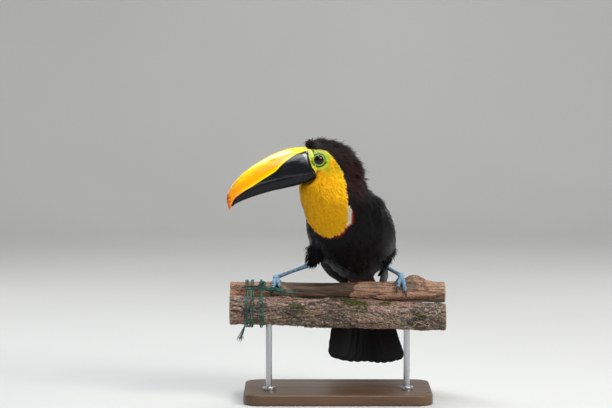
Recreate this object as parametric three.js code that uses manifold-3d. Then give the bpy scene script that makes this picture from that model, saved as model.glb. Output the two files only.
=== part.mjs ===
// A Choco toucan, life size, gripping a short lashed pair of branches held by a plain display stand.
// Millimetres, +Z up, the bird faces -Y with its bill toward -X, and the origin is the middle of the
// stand's underside. The bird is modelled from swept bodies joined and parted with thin cuts.
import * as THREE from "three";
import { mergeVertices } from "three/addons/utils/BufferGeometryUtils.js";
import Module from "manifold-3d";

const wasm = await Module();
wasm.setup();

// Driving sizes
const PERCH_TOP = 150;
const GAP = 0.3;
const PLUMAGE_GAP = 0.5;
const SMOOTHING = 0.25;
const SLIVER = 0.03;
const BODY_YAW = 17;
const BODY_PITCH = 51;
const HEAD_YAW = 70;
const HEAD_PITCH = 12;
const TAIL_SWING = 7.5;
const TAIL_DROOP = 7;
const TRUNK_CENTRE = [17, 1.2, PERCH_TOP + 60];
const BILL_BASE = [-35.6, -60.5, PERCH_TOP + 155.8];
const EYE_RADIUS = 7.6;
const EYE_PLACE = [-6.1, 17.0, 3.8];

// Sides round each swept body and rings along it.
const DETAIL = {
  trunk: [18, 15],
  neck: [18, 12],
  head: [18, 13],
  upperBill: [16, 22],
  lowerBill: [14, 18],
  eye: [12, 8],
  feather: [4, 6],
  tailCoverts: [10, 7],
  wing: [12, 12],
  rearBranch: [14, 23],
  frontBranch: [18, 20],
  toe: [6, 8],
  claw: [5, 6],
  footPad: [8, 6],
  shank: [8, 9],
  thigh: [12, 9],
  twineTurn: [5, 13],
  twineStrand: [5, 9],
  knot: [8, 6],
  rod: 16,
};

const group = new THREE.Group();

function finish(colour, roughness, metalness = 0) {
  return new THREE.MeshStandardMaterial({ color: colour, roughness, metalness });
}

const FINISHES = {
  blackPlumage: finish(0x0d0b0c, 0.6),
  crownPlumage: finish(0x17100e, 0.65),
  yellowPlumage: finish(0xf0b916, 0.7),
  billYellow: finish(0xf2b30f, 0.3),
  billBlack: finish(0x101014, 0.25),
  eye: finish(0x050404, 0.05),
  blueSkin: finish(0x5f9fc0, 0.5),
  claw: finish(0x1c1d20, 0.35),
  bark: finish(0x8a7256, 0.85),
  mossyBark: finish(0x5d5a48, 0.9),
  twine: finish(0x2a9aa0, 0.8),
  standWood: finish(0x2b2522, 0.45),
  standSteel: finish(0x6f7377, 0.35, 0.9),
};

// ---------------------------------------------------------------- small helpers

function lerp(a, b, share) {
  return a + (b - a) * share;
}

// Smooth values between stations: each row is [position, value, value ...].
function stations(rows) {
  const slope = (i, k) => {
    const before = rows[Math.max(i - 1, 0)];
    const after = rows[Math.min(i + 1, rows.length - 1)];
    return (after[k] - before[k]) / (after[0] - before[0]);
  };
  return (at) => {
    const inside = THREE.MathUtils.clamp(at, rows[0][0], rows[rows.length - 1][0]);
    const i = Math.max(0, Math.min(rows.length - 2, rows.findIndex((row) => row[0] > inside) - 1));
    const last = inside >= rows[rows.length - 1][0] ? rows.length - 2 : i;
    const [from, to] = [rows[last], rows[last + 1]];
    const span = to[0] - from[0];
    const s = (inside - from[0]) / span;
    return from.slice(1).map((value, j) => {
      const k = j + 1;
      const rise = slope(last, k) * span;
      const fall = slope(last + 1, k) * span;
      const cubic = 2 * s ** 3 - 3 * s ** 2;
      const slopes = (s ** 3 - 2 * s ** 2 + s) * rise + (s ** 3 - s ** 2) * fall;
      return (cubic + 1) * value - cubic * to[k] + slopes;
    });
  };
}

// Travel along a sweep and the size of its section, with both ends rounded off over a share of the length.
function roundedEnds(t, startShare, endShare = startShare) {
  const startsWithin = t < startShare;
  const endsWithin = 1 - t < endShare;
  if (!startsWithin && !endsWithin) {
    return { travel: t, size: 1 };
  }
  const share = startsWithin ? startShare : endShare;
  const turn = ((startsWithin ? t : 1 - t) / share) * (Math.PI / 2);
  const reach = share * (1 - Math.cos(turn));
  return { travel: startsWithin ? reach : 1 - reach, size: Math.sin(turn) };
}

function signedVolume(positions, index) {
  let volume = 0;
  const corners = [0, 1, 2].map(() => new THREE.Vector3());
  for (let i = 0; i < index.length; i += 3) {
    corners.forEach((corner, k) => corner.fromArray(positions, index[i + k] * 3));
    volume += corners[0].dot(corners[1].cross(corners[2])) / 6;
  }
  return volume;
}

// A closed geometry as a solid that can be joined and cut.
function solid(geometry) {
  geometry.deleteAttribute("normal");
  geometry.deleteAttribute("uv");
  const merged = mergeVertices(geometry, 1e-4);
  const vertProperties = new Float32Array(merged.attributes.position.array);
  const corners = Array.from(merged.index.array);
  const whole = [];
  for (let i = 0; i < corners.length; i += 3) {
    const [a, b, c] = corners.slice(i, i + 3);
    if (a !== b && b !== c && c !== a) {
      whole.push(a, b, c);
    }
  }
  if (signedVolume(vertProperties, whole) < 0) {
    whole.reverse();
  }
  return new wasm.Manifold(new wasm.Mesh({ numProp: 3, vertProperties, triVerts: new Uint32Array(whole) }));
}

// A closed body from a ring function: both ends, t = 0 and t = 1, close to a point.
function sweep(ring, [around, along]) {
  const ball = new THREE.SphereGeometry(1, around, along);
  const place = ball.attributes.position;
  const point = new THREE.Vector3();
  for (let i = 0; i < place.count; i += 1) {
    point.fromBufferAttribute(place, i);
    const t = Math.acos(THREE.MathUtils.clamp(point.y, -1, 1)) / Math.PI;
    place.setXYZ(i, ...ring(t, Math.atan2(point.z, point.x)));
  }
  return solid(ball);
}

// A closed hoop from a ring function: turn and angle both run once round.
function hoop(ring, [around, along]) {
  const tyre = new THREE.TorusGeometry(2, 1, around, along);
  const place = tyre.attributes.position;
  const share = tyre.attributes.uv;
  for (let i = 0; i < place.count; i += 1) {
    place.setXYZ(i, ...ring(share.getX(i) % 1, (share.getY(i) % 1) * Math.PI * 2));
  }
  return solid(tyre);
}

function joined(solids) {
  return solids.reduce((whole, next) => whole.add(next)).simplify(SMOOTHING);
}

// The largest of the separate lumps that a cut leaves.
function mainLump(body) {
  return body.decompose().sort((a, b) => b.volume() - a.volume())[0];
}

function without(body, ...cutters) {
  return mainLump(cutters.reduce((left, cutter) => left.subtract(cutter), body));
}

function addNode(name, body, material) {
  const mesh = mainLump(body.simplify(SLIVER)).getMesh();
  const geometry = new THREE.BufferGeometry();
  geometry.setAttribute("position", new THREE.BufferAttribute(new Float32Array(mesh.vertProperties), 3));
  geometry.setIndex(new THREE.BufferAttribute(new Uint32Array(mesh.triVerts), 1));
  geometry.computeVertexNormals();
  const node = new THREE.Mesh(geometry, material);
  node.name = name;
  group.add(node);
}

// ---------------------------------------------------------------- frames

// A frame whose first axis runs forward, second to the bird's left and third up.
function birdFrame(origin, yaw, pitch) {
  const turn = THREE.MathUtils.degToRad(yaw);
  const tilt = THREE.MathUtils.degToRad(pitch);
  const level = new THREE.Vector3(-Math.sin(turn), -Math.cos(turn), 0);
  const forward = level.clone().multiplyScalar(Math.cos(tilt)).setZ(Math.sin(tilt));
  const left = new THREE.Vector3(0, 0, 1).cross(level);
  const up = forward.clone().cross(left);
  const frame = new THREE.Matrix4().makeBasis(forward, left, up);
  frame.setPosition(...origin);
  return frame;
}

const BODY = birdFrame(TRUNK_CENTRE, BODY_YAW, BODY_PITCH);
const HEAD = birdFrame(BILL_BASE, HEAD_YAW, -HEAD_PITCH);

function placed(frame, forward, left, up) {
  return new THREE.Vector3(forward, left, up).applyMatrix4(frame);
}

function direction(frame, forward, left, up) {
  return new THREE.Vector3(forward, left, up).transformDirection(frame);
}

// ---------------------------------------------------------------- trunk, neck and head

// Along the body axis: station, offset, half width, depth to the back and depth to the belly.
const TRUNK_REACH = [-88, 84];
const BODY_ENDS = 0.12;
const trunkSection = stations([
  [-88, -1, 12, 5, 6],
  [-66, 0, 24, 13, 15],
  [-42, 0, 37, 26, 29],
  [-15, 0, 45, 36, 42],
  [12, 0, 48, 40, 47],
  [38, 0, 47, 38, 46],
  [62, 0, 40, 32, 40],
  [84, 0, 26, 20, 26],
]);

function buildTrunk(grow = 0) {
  return sweep((t, angle) => {
    const { travel, size } = roundedEnds(t, BODY_ENDS);
    const along = lerp(TRUNK_REACH[0] - grow, TRUNK_REACH[1] + grow, travel);
    const [lift, width, back, belly] = trunkSection(along);
    const side = Math.cos(angle) * (width + grow) * size;
    const depth = Math.sin(angle) * ((Math.sin(angle) > 0 ? back : belly) + grow) * size;
    return placed(BODY, along, side, lift + depth);
  }, DETAIL.trunk);
}

// Up the neck: height over the perch, middle x and y, heading, half length along it and half width.
const NECK_REACH = [58, 168];
const neckSection = stations([
  [58, 4, -28, 14, 20, 34],
  [82, 2, -33, 20, 33, 44],
  [104, -1, -39, 42, 47, 46],
  [124, -6.5, -45, 66, 45, 36],
  [146, -6, -48, 70, 39, 28],
  [168, -5, -50, 70, 26, 22],
]);

function buildNeck(grow = 0) {
  return sweep((t, angle) => {
    const { travel, size } = roundedEnds(t, BODY_ENDS);
    const height = lerp(NECK_REACH[0] - grow, NECK_REACH[1] + grow, travel);
    const [x, y, heading, length, width] = neckSection(height);
    const turn = angle - THREE.MathUtils.degToRad(heading);
    const reach = size / Math.hypot(Math.cos(turn) / (length + grow), Math.sin(turn) / (width + grow));
    return new THREE.Vector3(x - Math.sin(angle) * reach, y - Math.cos(angle) * reach, PERCH_TOP + height);
  }, DETAIL.neck);
}

// Back from the bill: station, middle, half width, height to the crown and depth to the throat.
const HEAD_REACH = [4, -67];
const HEAD_ENDS = [0.06, 0.16];
const headSection = stations([
  [-67, -24, 14, 12, 18],
  [-54, -12, 22, 18, 28],
  [-38, -4, 26, 23.5, 32],
  [-22, 0, 25, 27, 32],
  [-10, 2, 22.5, 29, 30],
  [-2, 2, 20, 27, 26],
  [4, 0, 17.5, 21, 22],
]);

function buildHead() {
  return sweep((t, angle) => {
    const { travel, size } = roundedEnds(t, ...HEAD_ENDS);
    const along = lerp(HEAD_REACH[0], HEAD_REACH[1], travel);
    const [middle, width, crown, throat] = headSection(along);
    const side = Math.cos(angle) * width * size;
    const height = Math.sin(angle) * (Math.sin(angle) > 0 ? crown : throat) * size;
    return placed(HEAD, along, side, middle + height);
  }, DETAIL.head);
}

// ---------------------------------------------------------------- bill

// Paired stations from the root in the head to the tip, forward and up from the middle of the base:
// ridge of the upper bill, cutting edge, keel of the lower bill and half width.
const BILL_STATIONS = [
  { ridge: [-5, 18.8], edge: [-5, -13.3], keel: [-5, -19.7], half: 14.6 },
  { ridge: [8, 22.9], edge: [8, -11.8], keel: [8, -21.6], half: 16.2 },
  { ridge: [26, 24.6], edge: [24, -10], keel: [24, -23.1], half: 15 },
  { ridge: [46, 22.2], edge: [42, -8.8], keel: [42, -23], half: 13.2 },
  { ridge: [67, 16.8], edge: [60, -8.9], keel: [59, -22.7], half: 11.2 },
  { ridge: [86, 9.6], edge: [76, -10], keel: [75, -23.2], half: 9.2 },
  { ridge: [101, 0.6], edge: [90, -12.8], keel: [88, -24.2], half: 7.3 },
  { ridge: [111.5, -9], edge: [101, -16.6], keel: [99, -25.7], half: 5.6 },
  { ridge: [116.5, -20], edge: [109.5, -21.8], keel: [107, -27.6], half: 4 },
  { ridge: [116.2, -34.4], edge: [116.2, -34.4], keel: [112.6, -30.6], half: 1.6 },
];
const BILL_ENDS = [0.04, 0.05];
const UPPER_BILL = { fullness: 0.7, narrower: 1, detail: DETAIL.upperBill };
const LOWER_BILL = { fullness: 0.75, narrower: 0.94, detail: DETAIL.lowerBill };
const LOWER_REACH = 0.94;
const RIM_SWELL = 0.86;

function billLine(name) {
  const points = BILL_STATIONS.map((one) => new THREE.Vector3(one[name][0], 0, one[name][1]));
  return new THREE.CatmullRomCurve3(points);
}

const ridgeLine = billLine("ridge");
const edgeLine = billLine("edge");
const keelLine = billLine("keel");
const billHalf = stations(BILL_STATIONS.map((one, i) => [i / (BILL_STATIONS.length - 1), one.half]));

// Half a bill: from the flat along the cutting edge out to the ridge or the keel.
function halfBill(edgeAt, rimAt, { fullness, narrower, detail }, grow) {
  return sweep((t, angle) => {
    const { travel, size } = roundedEnds(t, ...BILL_ENDS);
    const edge = edgeAt(travel);
    const rim = rimAt(travel);
    const outward = rim.clone().sub(edge).normalize();
    const middle = edge.clone().lerp(rim, 0.45);
    const swell = Math.max(0, Math.sin(angle));
    const point = edge.clone().lerp(rim, swell ** RIM_SWELL);
    point.addScaledVector(outward, grow * THREE.MathUtils.clamp(4 * Math.sin(angle), -1, 1));
    point.lerp(middle, 1 - size);
    const half = billHalf(travel)[0] * narrower + grow;
    const side = Math.sign(Math.cos(angle)) * Math.abs(Math.cos(angle)) ** fullness * half * size;
    return placed(HEAD, point.x + (travel - 0.5) * 2 * grow, side, point.z);
  }, detail);
}

function buildUpperBill(grow = 0) {
  const edgeAt = (travel) => edgeLine.getPoint(travel);
  return halfBill(edgeAt, (travel) => ridgeLine.getPoint(travel), UPPER_BILL, grow);
}

function buildLowerBill(grow = 0) {
  const edgeAt = (travel) => {
    const edge = edgeLine.getPoint(travel * LOWER_REACH);
    edge.z -= GAP * 1.5;
    return edge;
  };
  return halfBill(edgeAt, (travel) => keelLine.getPoint(travel), LOWER_BILL, grow);
}

// ---------------------------------------------------------------- eyes

function buildEye(side, grow = 0) {
  const middle = placed(HEAD, EYE_PLACE[0], EYE_PLACE[1] * side, EYE_PLACE[2]);
  const ball = new THREE.SphereGeometry(EYE_RADIUS + grow, ...DETAIL.eye);
  ball.translate(middle.x, middle.y, middle.z);
  return solid(ball);
}

// ---------------------------------------------------------------- tail and wings

// A flat feather from root to tip in a frame: broad, thin and rounded at the tip.
const FEATHER_ENDS = [0.16, 0.13];
const QUILL_WIDTH = 0.6;

function vane(frame, root, tip, across, { halfWidth, thickness }, grow = 0) {
  const from = new THREE.Vector3(...root);
  const shaft = new THREE.Vector3(...tip).sub(from);
  const side = new THREE.Vector3(...across).normalize();
  const face = shaft.clone().cross(side).normalize();
  return sweep((t, angle) => {
    const { travel, size } = roundedEnds(1 - (1 - t) ** 1.6, ...FEATHER_ENDS);
    const width = (lerp(QUILL_WIDTH, 1, Math.min(1, travel * 2)) * halfWidth + grow) * size ** 0.7;
    const depth = (thickness / 2 + grow) * Math.min(1, size * 2);
    const point = from.clone().addScaledVector(shaft, travel);
    point.addScaledVector(shaft, ((travel - 0.5) * 2 * grow) / shaft.length());
    point.addScaledVector(side, Math.cos(angle) * width);
    point.addScaledVector(face, Math.sin(angle) * depth);
    return point.applyMatrix4(frame);
  }, DETAIL.feather);
}

// Five pairs of tail feathers, each a step lower than the one nearer the middle, under short coverts.
const TAIL_ROOT = -58;
const TAIL_LENGTH = 161;
const TAIL_PAIRS = 5;
const TAIL_STEP = 1.7;
const TAIL_TOP = 3;
const TAIL_SPREAD = { base: 13, tip: 44, rounding: 12 };
const TAIL_FEATHER = { halfWidth: 15, thickness: TAIL_STEP * 0.55 };
const TAIL_COVERTS = { reach: [-2, -56], width: [20, 15], depth: [9, 4.5] };

function buildTail(grow = 0) {
  const root = placed(BODY, TAIL_ROOT, 0, 0).toArray();
  const frame = birdFrame(root, BODY_YAW - TAIL_SWING, BODY_PITCH + TAIL_DROOP);
  const feathers = [];
  for (const side of [-1, 1]) {
    for (let i = 0; i < TAIL_PAIRS; i += 1) {
      const outward = (i + 0.5) / TAIL_PAIRS;
      const under = TAIL_TOP - (i + (side > 0 ? 0.5 : 0)) * TAIL_STEP;
      const base = [-8, side * outward * TAIL_SPREAD.base, under];
      const reach = TAIL_LENGTH - outward ** 2 * TAIL_SPREAD.rounding;
      const tip = [-reach, side * outward * TAIL_SPREAD.tip, under];
      feathers.push(vane(frame, base, tip, [0, 1, side * -0.06], TAIL_FEATHER, grow));
    }
  }
  const coverts = sweep((t, angle) => {
    const { travel, size } = roundedEnds(t, 0.3);
    const width = (lerp(...TAIL_COVERTS.width, travel) + grow) * size;
    const depth = (lerp(...TAIL_COVERTS.depth, travel) + grow) * size;
    const along = lerp(...TAIL_COVERTS.reach, travel);
    return placed(frame, along, Math.cos(angle) * width, Math.sin(angle) * depth);
  }, DETAIL.tailCoverts);
  return joined([...feathers, coverts]);
}

// Down the folded wing: place on the body axis, out, lift, half height, half thickness and roll.
// Its upper and lower edges bend in to hug the body.
const WING_REACH = [60, -82];
const wingSection = stations([
  [-82, 21, 12, 12, 4, -38],
  [-60, 30, 14, 19, 6.5, -28],
  [-34, 41, 10, 27, 9, -16],
  [-4, 46.5, 5, 31, 10.5, -6],
  [20, 45.5, 4, 31, 10.5, 0],
  [40, 41, 5, 26, 9.5, 3],
  [60, 32, 7, 15, 7, 6],
]);
const WING_HUG = 13;
const WING_ENDS = [0.14, 0.2];

// Flight feathers from the lowest to the one nearest the back: root and tip of the first and the last.
const FLIGHT_FEATHERS = 4;
const FLIGHT_ROOTS = [[-24, 40, -12], [-46, 29, 20]];
const FLIGHT_TIPS = [[-78, 32, 4], [-114, 13, 10]];
const FLIGHT_FEATHER = { halfWidth: 11, thickness: 1.8 };

function buildWing(side) {
  const coverts = sweep((t, angle) => {
    const { travel, size } = roundedEnds(t, ...WING_ENDS);
    const along = lerp(WING_REACH[0], WING_REACH[1], travel);
    const [out, lift, height, thickness, roll] = wingSection(along);
    const turn = THREE.MathUtils.degToRad(roll);
    const up = Math.sin(angle) * height * size;
    const outward = Math.cos(angle) * thickness * size;
    const hug = WING_HUG * Math.sin(angle) ** 2 * size;
    const across = out - hug + outward * Math.cos(turn) + up * Math.sin(turn);
    return placed(BODY, along, side * across, lift + up * Math.cos(turn) - outward * Math.sin(turn));
  }, DETAIL.wing);
  const feathers = [];
  for (let i = 0; i < FLIGHT_FEATHERS; i += 1) {
    const share = i / (FLIGHT_FEATHERS - 1);
    const between = ([first, last]) => {
      const [along, out, lift] = first.map((value, k) => lerp(value, last[k], share));
      return [along, side * out, lift];
    };
    const across = [0, side * -0.6, 0.8];
    feathers.push(vane(BODY, between(FLIGHT_ROOTS), between(FLIGHT_TIPS), across, FLIGHT_FEATHER));
  }
  return joined([coverts, ...feathers]);
}

// ---------------------------------------------------------------- perch

const BRANCH_HALF = 138;
const REAR_RADIUS = 13;
const FRONT_RADIUS = 18;
const REAR_AXIS = { y: [0, 0], z: [-13, -13] };
const FRONT_AXIS = { y: [-26.5, -18], z: [-33, -43.5] };
const KNOT = { x: 98, reach: 15, height: 9 };

function axisPoint(axis, x) {
  const share = (x + BRANCH_HALF) / (2 * BRANCH_HALF);
  return new THREE.Vector3(x, lerp(...axis.y, share), PERCH_TOP + lerp(...axis.z, share));
}

// Angles run from the back, over the top, to the front. The rear branch is smooth, with one knot on top.
function rearRadius(x, angle) {
  const knot = Math.exp(-(((x - KNOT.x) / KNOT.reach) ** 2)) * Math.max(0, Math.sin(angle)) ** 2;
  const waves = 0.5 * Math.sin(x / 17) * Math.sin(angle + x / 60) + 0.3 * Math.sin(3 * angle + x / 23);
  return REAR_RADIUS + waves + KNOT.height * knot;
}

// The front branch is thicker, with furrowed bark.
function frontRadius(x, angle) {
  const furrows = 0.7 * Math.sin(5 * angle + 1.4 * Math.sin(x / 19));
  const cracks = 0.3 * Math.sin(x / 9.5 + 3 * Math.sin(angle));
  const waves = 0.5 * Math.sin(x / 31 + 1) + 0.4 * Math.sin(2 * angle + x / 40);
  return FRONT_RADIUS + furrows + cracks + waves;
}

// Flat sawn ends with a narrow worn edge: the first ring is the face's rim, the second the full size.
const WORN_EDGE = { inset: 0.92, share: 0.007 };

function sawnEnds(t, rings) {
  const ring = t * rings;
  const fromEnd = Math.min(ring, rings - ring);
  if (fromEnd < 1.5) {
    return { travel: ring < 1.5 ? 0 : 1, size: Math.min(1, fromEnd) * WORN_EDGE.inset };
  }
  return { travel: lerp(WORN_EDGE.share, 1 - WORN_EDGE.share, (ring - 2) / (rings - 4)), size: 1 };
}

function buildBranch({ axis, radiusAt, detail }, grow = 0) {
  return sweep((t, angle) => {
    const { travel, size } = sawnEnds(t, detail[1]);
    const x = lerp(-BRANCH_HALF - grow, BRANCH_HALF + grow, travel);
    const middle = axisPoint(axis, x);
    const radius = (radiusAt(x, angle) + grow) * size;
    return middle.add(new THREE.Vector3(0, radius * Math.cos(angle), radius * Math.sin(angle)));
  }, detail);
}

const REAR_BRANCH = { axis: REAR_AXIS, radiusAt: rearRadius, detail: DETAIL.rearBranch };
const FRONT_BRANCH = { axis: FRONT_AXIS, radiusAt: frontRadius, detail: DETAIL.frontBranch };

// ---------------------------------------------------------------- legs, toes and claws

// A rod of changing thickness through points, closed and rounded at both ends.
function limb(points, radii, detail, { grow = 0, endShare = 0.08 } = {}) {
  const rings = detail[1];
  const path = new THREE.CatmullRomCurve3(points);
  const frames = path.computeFrenetFrames(rings);
  const radiusAt = stations(radii.map((radius, i) => [i / (radii.length - 1), radius]));
  return sweep((t, angle) => {
    const { travel, size } = roundedEnds(t, endShare);
    const row = Math.round(travel * rings);
    const radius = (radiusAt(travel)[0] + grow) * size;
    const point = path.getPointAt(travel).addScaledVector(frames.tangents[row], (travel - 0.5) * 2 * grow);
    point.addScaledVector(frames.normals[row], Math.cos(angle) * radius);
    return point.addScaledVector(frames.binormals[row], Math.sin(angle) * radius);
  }, detail);
}

// A foot stands on the rear branch: toes 2 and 3 reach forward over it, 1 and 4 back.
const TOES = {
  1: { start: 74, turn: -58, splay: -8 },
  2: { start: 96, turn: 58, splay: -5 },
  3: { start: 96, turn: 76, splay: 5 },
  4: { start: 74, turn: -74, splay: 8 },
};
const TOE_RADII = [3.3, 2.7, 3, 2.4, 2.5];
const TOE_LIFT = 3.4;
const CLAW_RADII = [1.8, 1.8, 1.3, 0.5];
const CLAW_LIFTS = [3.2, 4.4, 3.8, 1.1];
const CLAW_TURN = 34;
const FOOT_PAD = { places: [[54, 4.4], [84, 4.8], [112, 4.4]], radii: [3.2, 4.2, 3.4] };
const SHANK_RADII = [3.4, 2.3, 2.2, 2.8];
const THIGH_RADII = [20, 15, 7.5];
const LEGS = {
  right: { side: -1, foot: -79, hip: [-2, 8, 55], knee: [-24, 4, 40], ankle: [-40, 5, 20] },
  left: { side: 1, foot: 81.5, hip: [38, -2, 50], knee: [57, 15, 31], ankle: [61, 32, 17] },
};

function overPerch(x, degrees, lift) {
  const angle = THREE.MathUtils.degToRad(degrees);
  const reach = rearRadius(x, angle) + lift;
  const outward = new THREE.Vector3(0, Math.cos(angle), Math.sin(angle));
  return axisPoint(REAR_AXIS, x).addScaledVector(outward, reach);
}

function buildToe(leg, { start, turn, splay }) {
  const points = [];
  for (let i = 0; i <= 4; i += 1) {
    points.push(overPerch(leg.foot + (leg.side * splay * i) / 4, start + (turn * i) / 4, TOE_LIFT));
  }
  return limb(points, TOE_RADII, DETAIL.toe);
}

function buildClaw(leg, { start, turn, splay }, grow = 0) {
  const points = CLAW_LIFTS.map((lift, i) => {
    const share = i / (CLAW_LIFTS.length - 1);
    const x = leg.foot + leg.side * splay * (0.95 + share * 0.3);
    return overPerch(x, start + turn * 0.95 + Math.sign(turn) * CLAW_TURN * share, lift);
  });
  return limb(points, CLAW_RADII, DETAIL.claw, { grow, endShare: 0.12 });
}

function buildFootPad(leg) {
  const points = FOOT_PAD.places.map(([degrees, lift]) => overPerch(leg.foot, degrees, lift));
  return limb(points, FOOT_PAD.radii, DETAIL.footPad, { endShare: 0.25 });
}

function buildShank(leg, grow = 0) {
  const foot = overPerch(leg.foot, 84, 5.5);
  const ankle = new THREE.Vector3(leg.ankle[0], leg.ankle[1], PERCH_TOP + leg.ankle[2]);
  const points = [-0.1, 0.35, 0.7, 1].map((share) => ankle.clone().lerp(foot, share));
  return limb(points, SHANK_RADII, DETAIL.shank, { grow });
}

function buildThigh(leg, grow = 0) {
  const joints = [leg.hip, leg.knee, leg.ankle].map(([x, y, z]) => new THREE.Vector3(x, y, PERCH_TOP + z));
  return limb(joints, THIGH_RADII, DETAIL.thigh, { grow, endShare: 0.14 });
}

// ---------------------------------------------------------------- lashing

const TWINE_RADIUS = 1.9;
const TURNS = [-116, -109.5, -97];

// One turn drawn tight round both branches, over the back of one and under the front of the other.
function lashingTurn(x) {
  const rear = axisPoint(REAR_AXIS, x);
  const front = axisPoint(FRONT_AXIS, x);
  const heading = Math.atan2(rear.z - front.z, rear.y - front.y);
  const points = [];
  const wrap = (centre, reach, from) => {
    for (let i = 0; i <= 5; i += 1) {
      const angle = from + (Math.PI * i) / 5;
      points.push(centre.clone().add(new THREE.Vector3(0, Math.cos(angle) * reach, Math.sin(angle) * reach)));
    }
  };
  wrap(rear, REAR_RADIUS + 1 + TWINE_RADIUS, heading - Math.PI / 2);
  wrap(front, FRONT_RADIUS + 1.5 + TWINE_RADIUS, heading + Math.PI / 2);
  const path = new THREE.CatmullRomCurve3(points, true, "centripetal");
  return hoop((turn, angle) => {
    const middle = path.getPoint(turn);
    const forward = path.getTangent(turn);
    const outward = new THREE.Vector3(1, 0, 0).cross(forward).normalize();
    middle.x += Math.sin(angle) * TWINE_RADIUS;
    return middle.addScaledVector(outward, Math.cos(angle) * TWINE_RADIUS);
  }, DETAIL.twineTurn);
}

// Strands along the crease between the branches, over the toes, with the knot and the frayed end.
const CREASE = { forward: 21, drop: 5 };

function lashingTies() {
  const level = PERCH_TOP - CREASE.drop;
  const crease = (x, lift, forward) => new THREE.Vector3(x, -CREASE.forward - forward, level + lift);
  const upper = [crease(-121, 0, -1), crease(-104, 0, 0), crease(-86, -1, 1), crease(-72, -3, 0)];
  const lower = [crease(-98, -2, 0), crease(-80, -5, 2), crease(-66, -6, 1), crease(-52, -6, -1)];
  const knot = [crease(-101, 4, -3), crease(-97, 6, -3), crease(-91, 5, -3)];
  const front = axisPoint(FRONT_AXIS, TURNS[0]);
  const hang = (x, forward, drop) => new THREE.Vector3(x, front.y - forward, front.z - drop);
  const frayed = [hang(-115, 21.5, 2), hang(-117, 22, 14), hang(-121, 19, 26), hang(-125, 17, 36)];
  return [
    limb(upper, [1.4, 1.6, 1.6, 1.2], DETAIL.twineStrand),
    limb(lower, [1.4, 1.6, 1.5, 1.1], DETAIL.twineStrand),
    limb(knot, [3.4, 4.6, 3], DETAIL.knot, { endShare: 0.25 }),
    limb(frayed, [1.6, 1.8, 2.3, 1.2], DETAIL.twineStrand),
  ];
}

// ---------------------------------------------------------------- display stand

const BASE = { width: 240, depth: 150, height: 14, corner: 22, edge: 2.5 };
const ROD = { x: 88, radius: 4 };

function buildBase() {
  const { width, depth, height, corner, edge } = BASE;
  const [right, back] = [width / 2 - edge, depth / 2 - edge];
  const outline = new THREE.Shape();
  outline.moveTo(right - corner, -back);
  outline.absarc(right - corner, corner - back, corner, -Math.PI / 2, 0);
  outline.absarc(right - corner, back - corner, corner, 0, Math.PI / 2);
  outline.absarc(corner - right, back - corner, corner, Math.PI / 2, Math.PI);
  outline.absarc(corner - right, corner - back, corner, Math.PI, Math.PI * 1.5);
  const plate = new THREE.ExtrudeGeometry(outline, {
    depth: height - 2 * edge,
    bevelThickness: edge,
    bevelSize: edge,
    bevelSegments: 1,
    curveSegments: 4,
  });
  plate.translate(0, 0, edge);
  return solid(plate);
}

function buildRod(x) {
  const front = axisPoint(FRONT_AXIS, x);
  const rod = new THREE.CylinderGeometry(ROD.radius, ROD.radius, front.z - BASE.height - GAP, DETAIL.rod);
  rod.rotateX(Math.PI / 2);
  rod.translate(x, front.y, (front.z + BASE.height + GAP) / 2);
  return solid(rod);
}

// ---------------------------------------------------------------- the whole model

// Where thin cuts part the body: the trunk from the neck, and the neck from the head.
const SHOULDER_CUT = 55;
const THROAT_CUT = -31;

// The shapes that others are cut back from, each larger by the gap.
const clear = {
  trunk: buildTrunk(PLUMAGE_GAP),
  tail: buildTail(PLUMAGE_GAP),
  rear: buildBranch(REAR_BRANCH, GAP),
  front: buildBranch(FRONT_BRANCH, GAP),
};

function addBody() {
  const bill = [buildUpperBill(GAP), buildLowerBill(GAP)];
  const orbits = [buildEye(-1, GAP), buildEye(1, GAP)];
  const sockets = [...bill, ...orbits];
  const whole = joined([buildTrunk(), buildNeck(), buildHead()]);
  const shoulders = { normal: direction(BODY, 1, 0, 0), point: placed(BODY, SHOULDER_CUT, 0, 0) };
  const throat = { normal: direction(HEAD, 0, 0, 1), point: placed(HEAD, 0, 0, THROAT_CUT) };
  const above = ({ normal, point }, body) => {
    return body.trimByPlane(normal.toArray(), normal.dot(point) + GAP / 2);
  };
  const below = ({ normal, point }, body) => {
    return body.trimByPlane(normal.clone().negate().toArray(), GAP / 2 - normal.dot(point));
  };
  addNode("head", without(above(throat, whole), ...sockets), FINISHES.crownPlumage);
  addNode("neck", without(above(shoulders, below(throat, whole)), ...sockets), FINISHES.yellowPlumage);
  addNode("trunk", mainLump(below(shoulders, whole)), FINISHES.blackPlumage);
  addNode("bill_upper", without(buildUpperBill(), ...orbits), FINISHES.billYellow);
  addNode("bill_lower", without(buildLowerBill(), ...orbits), FINISHES.billBlack);
  addNode("eye_left", buildEye(1), FINISHES.eye);
  addNode("eye_right", buildEye(-1), FINISHES.eye);
  addNode("tail", without(buildTail(), clear.trunk), FINISHES.blackPlumage);
}

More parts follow.
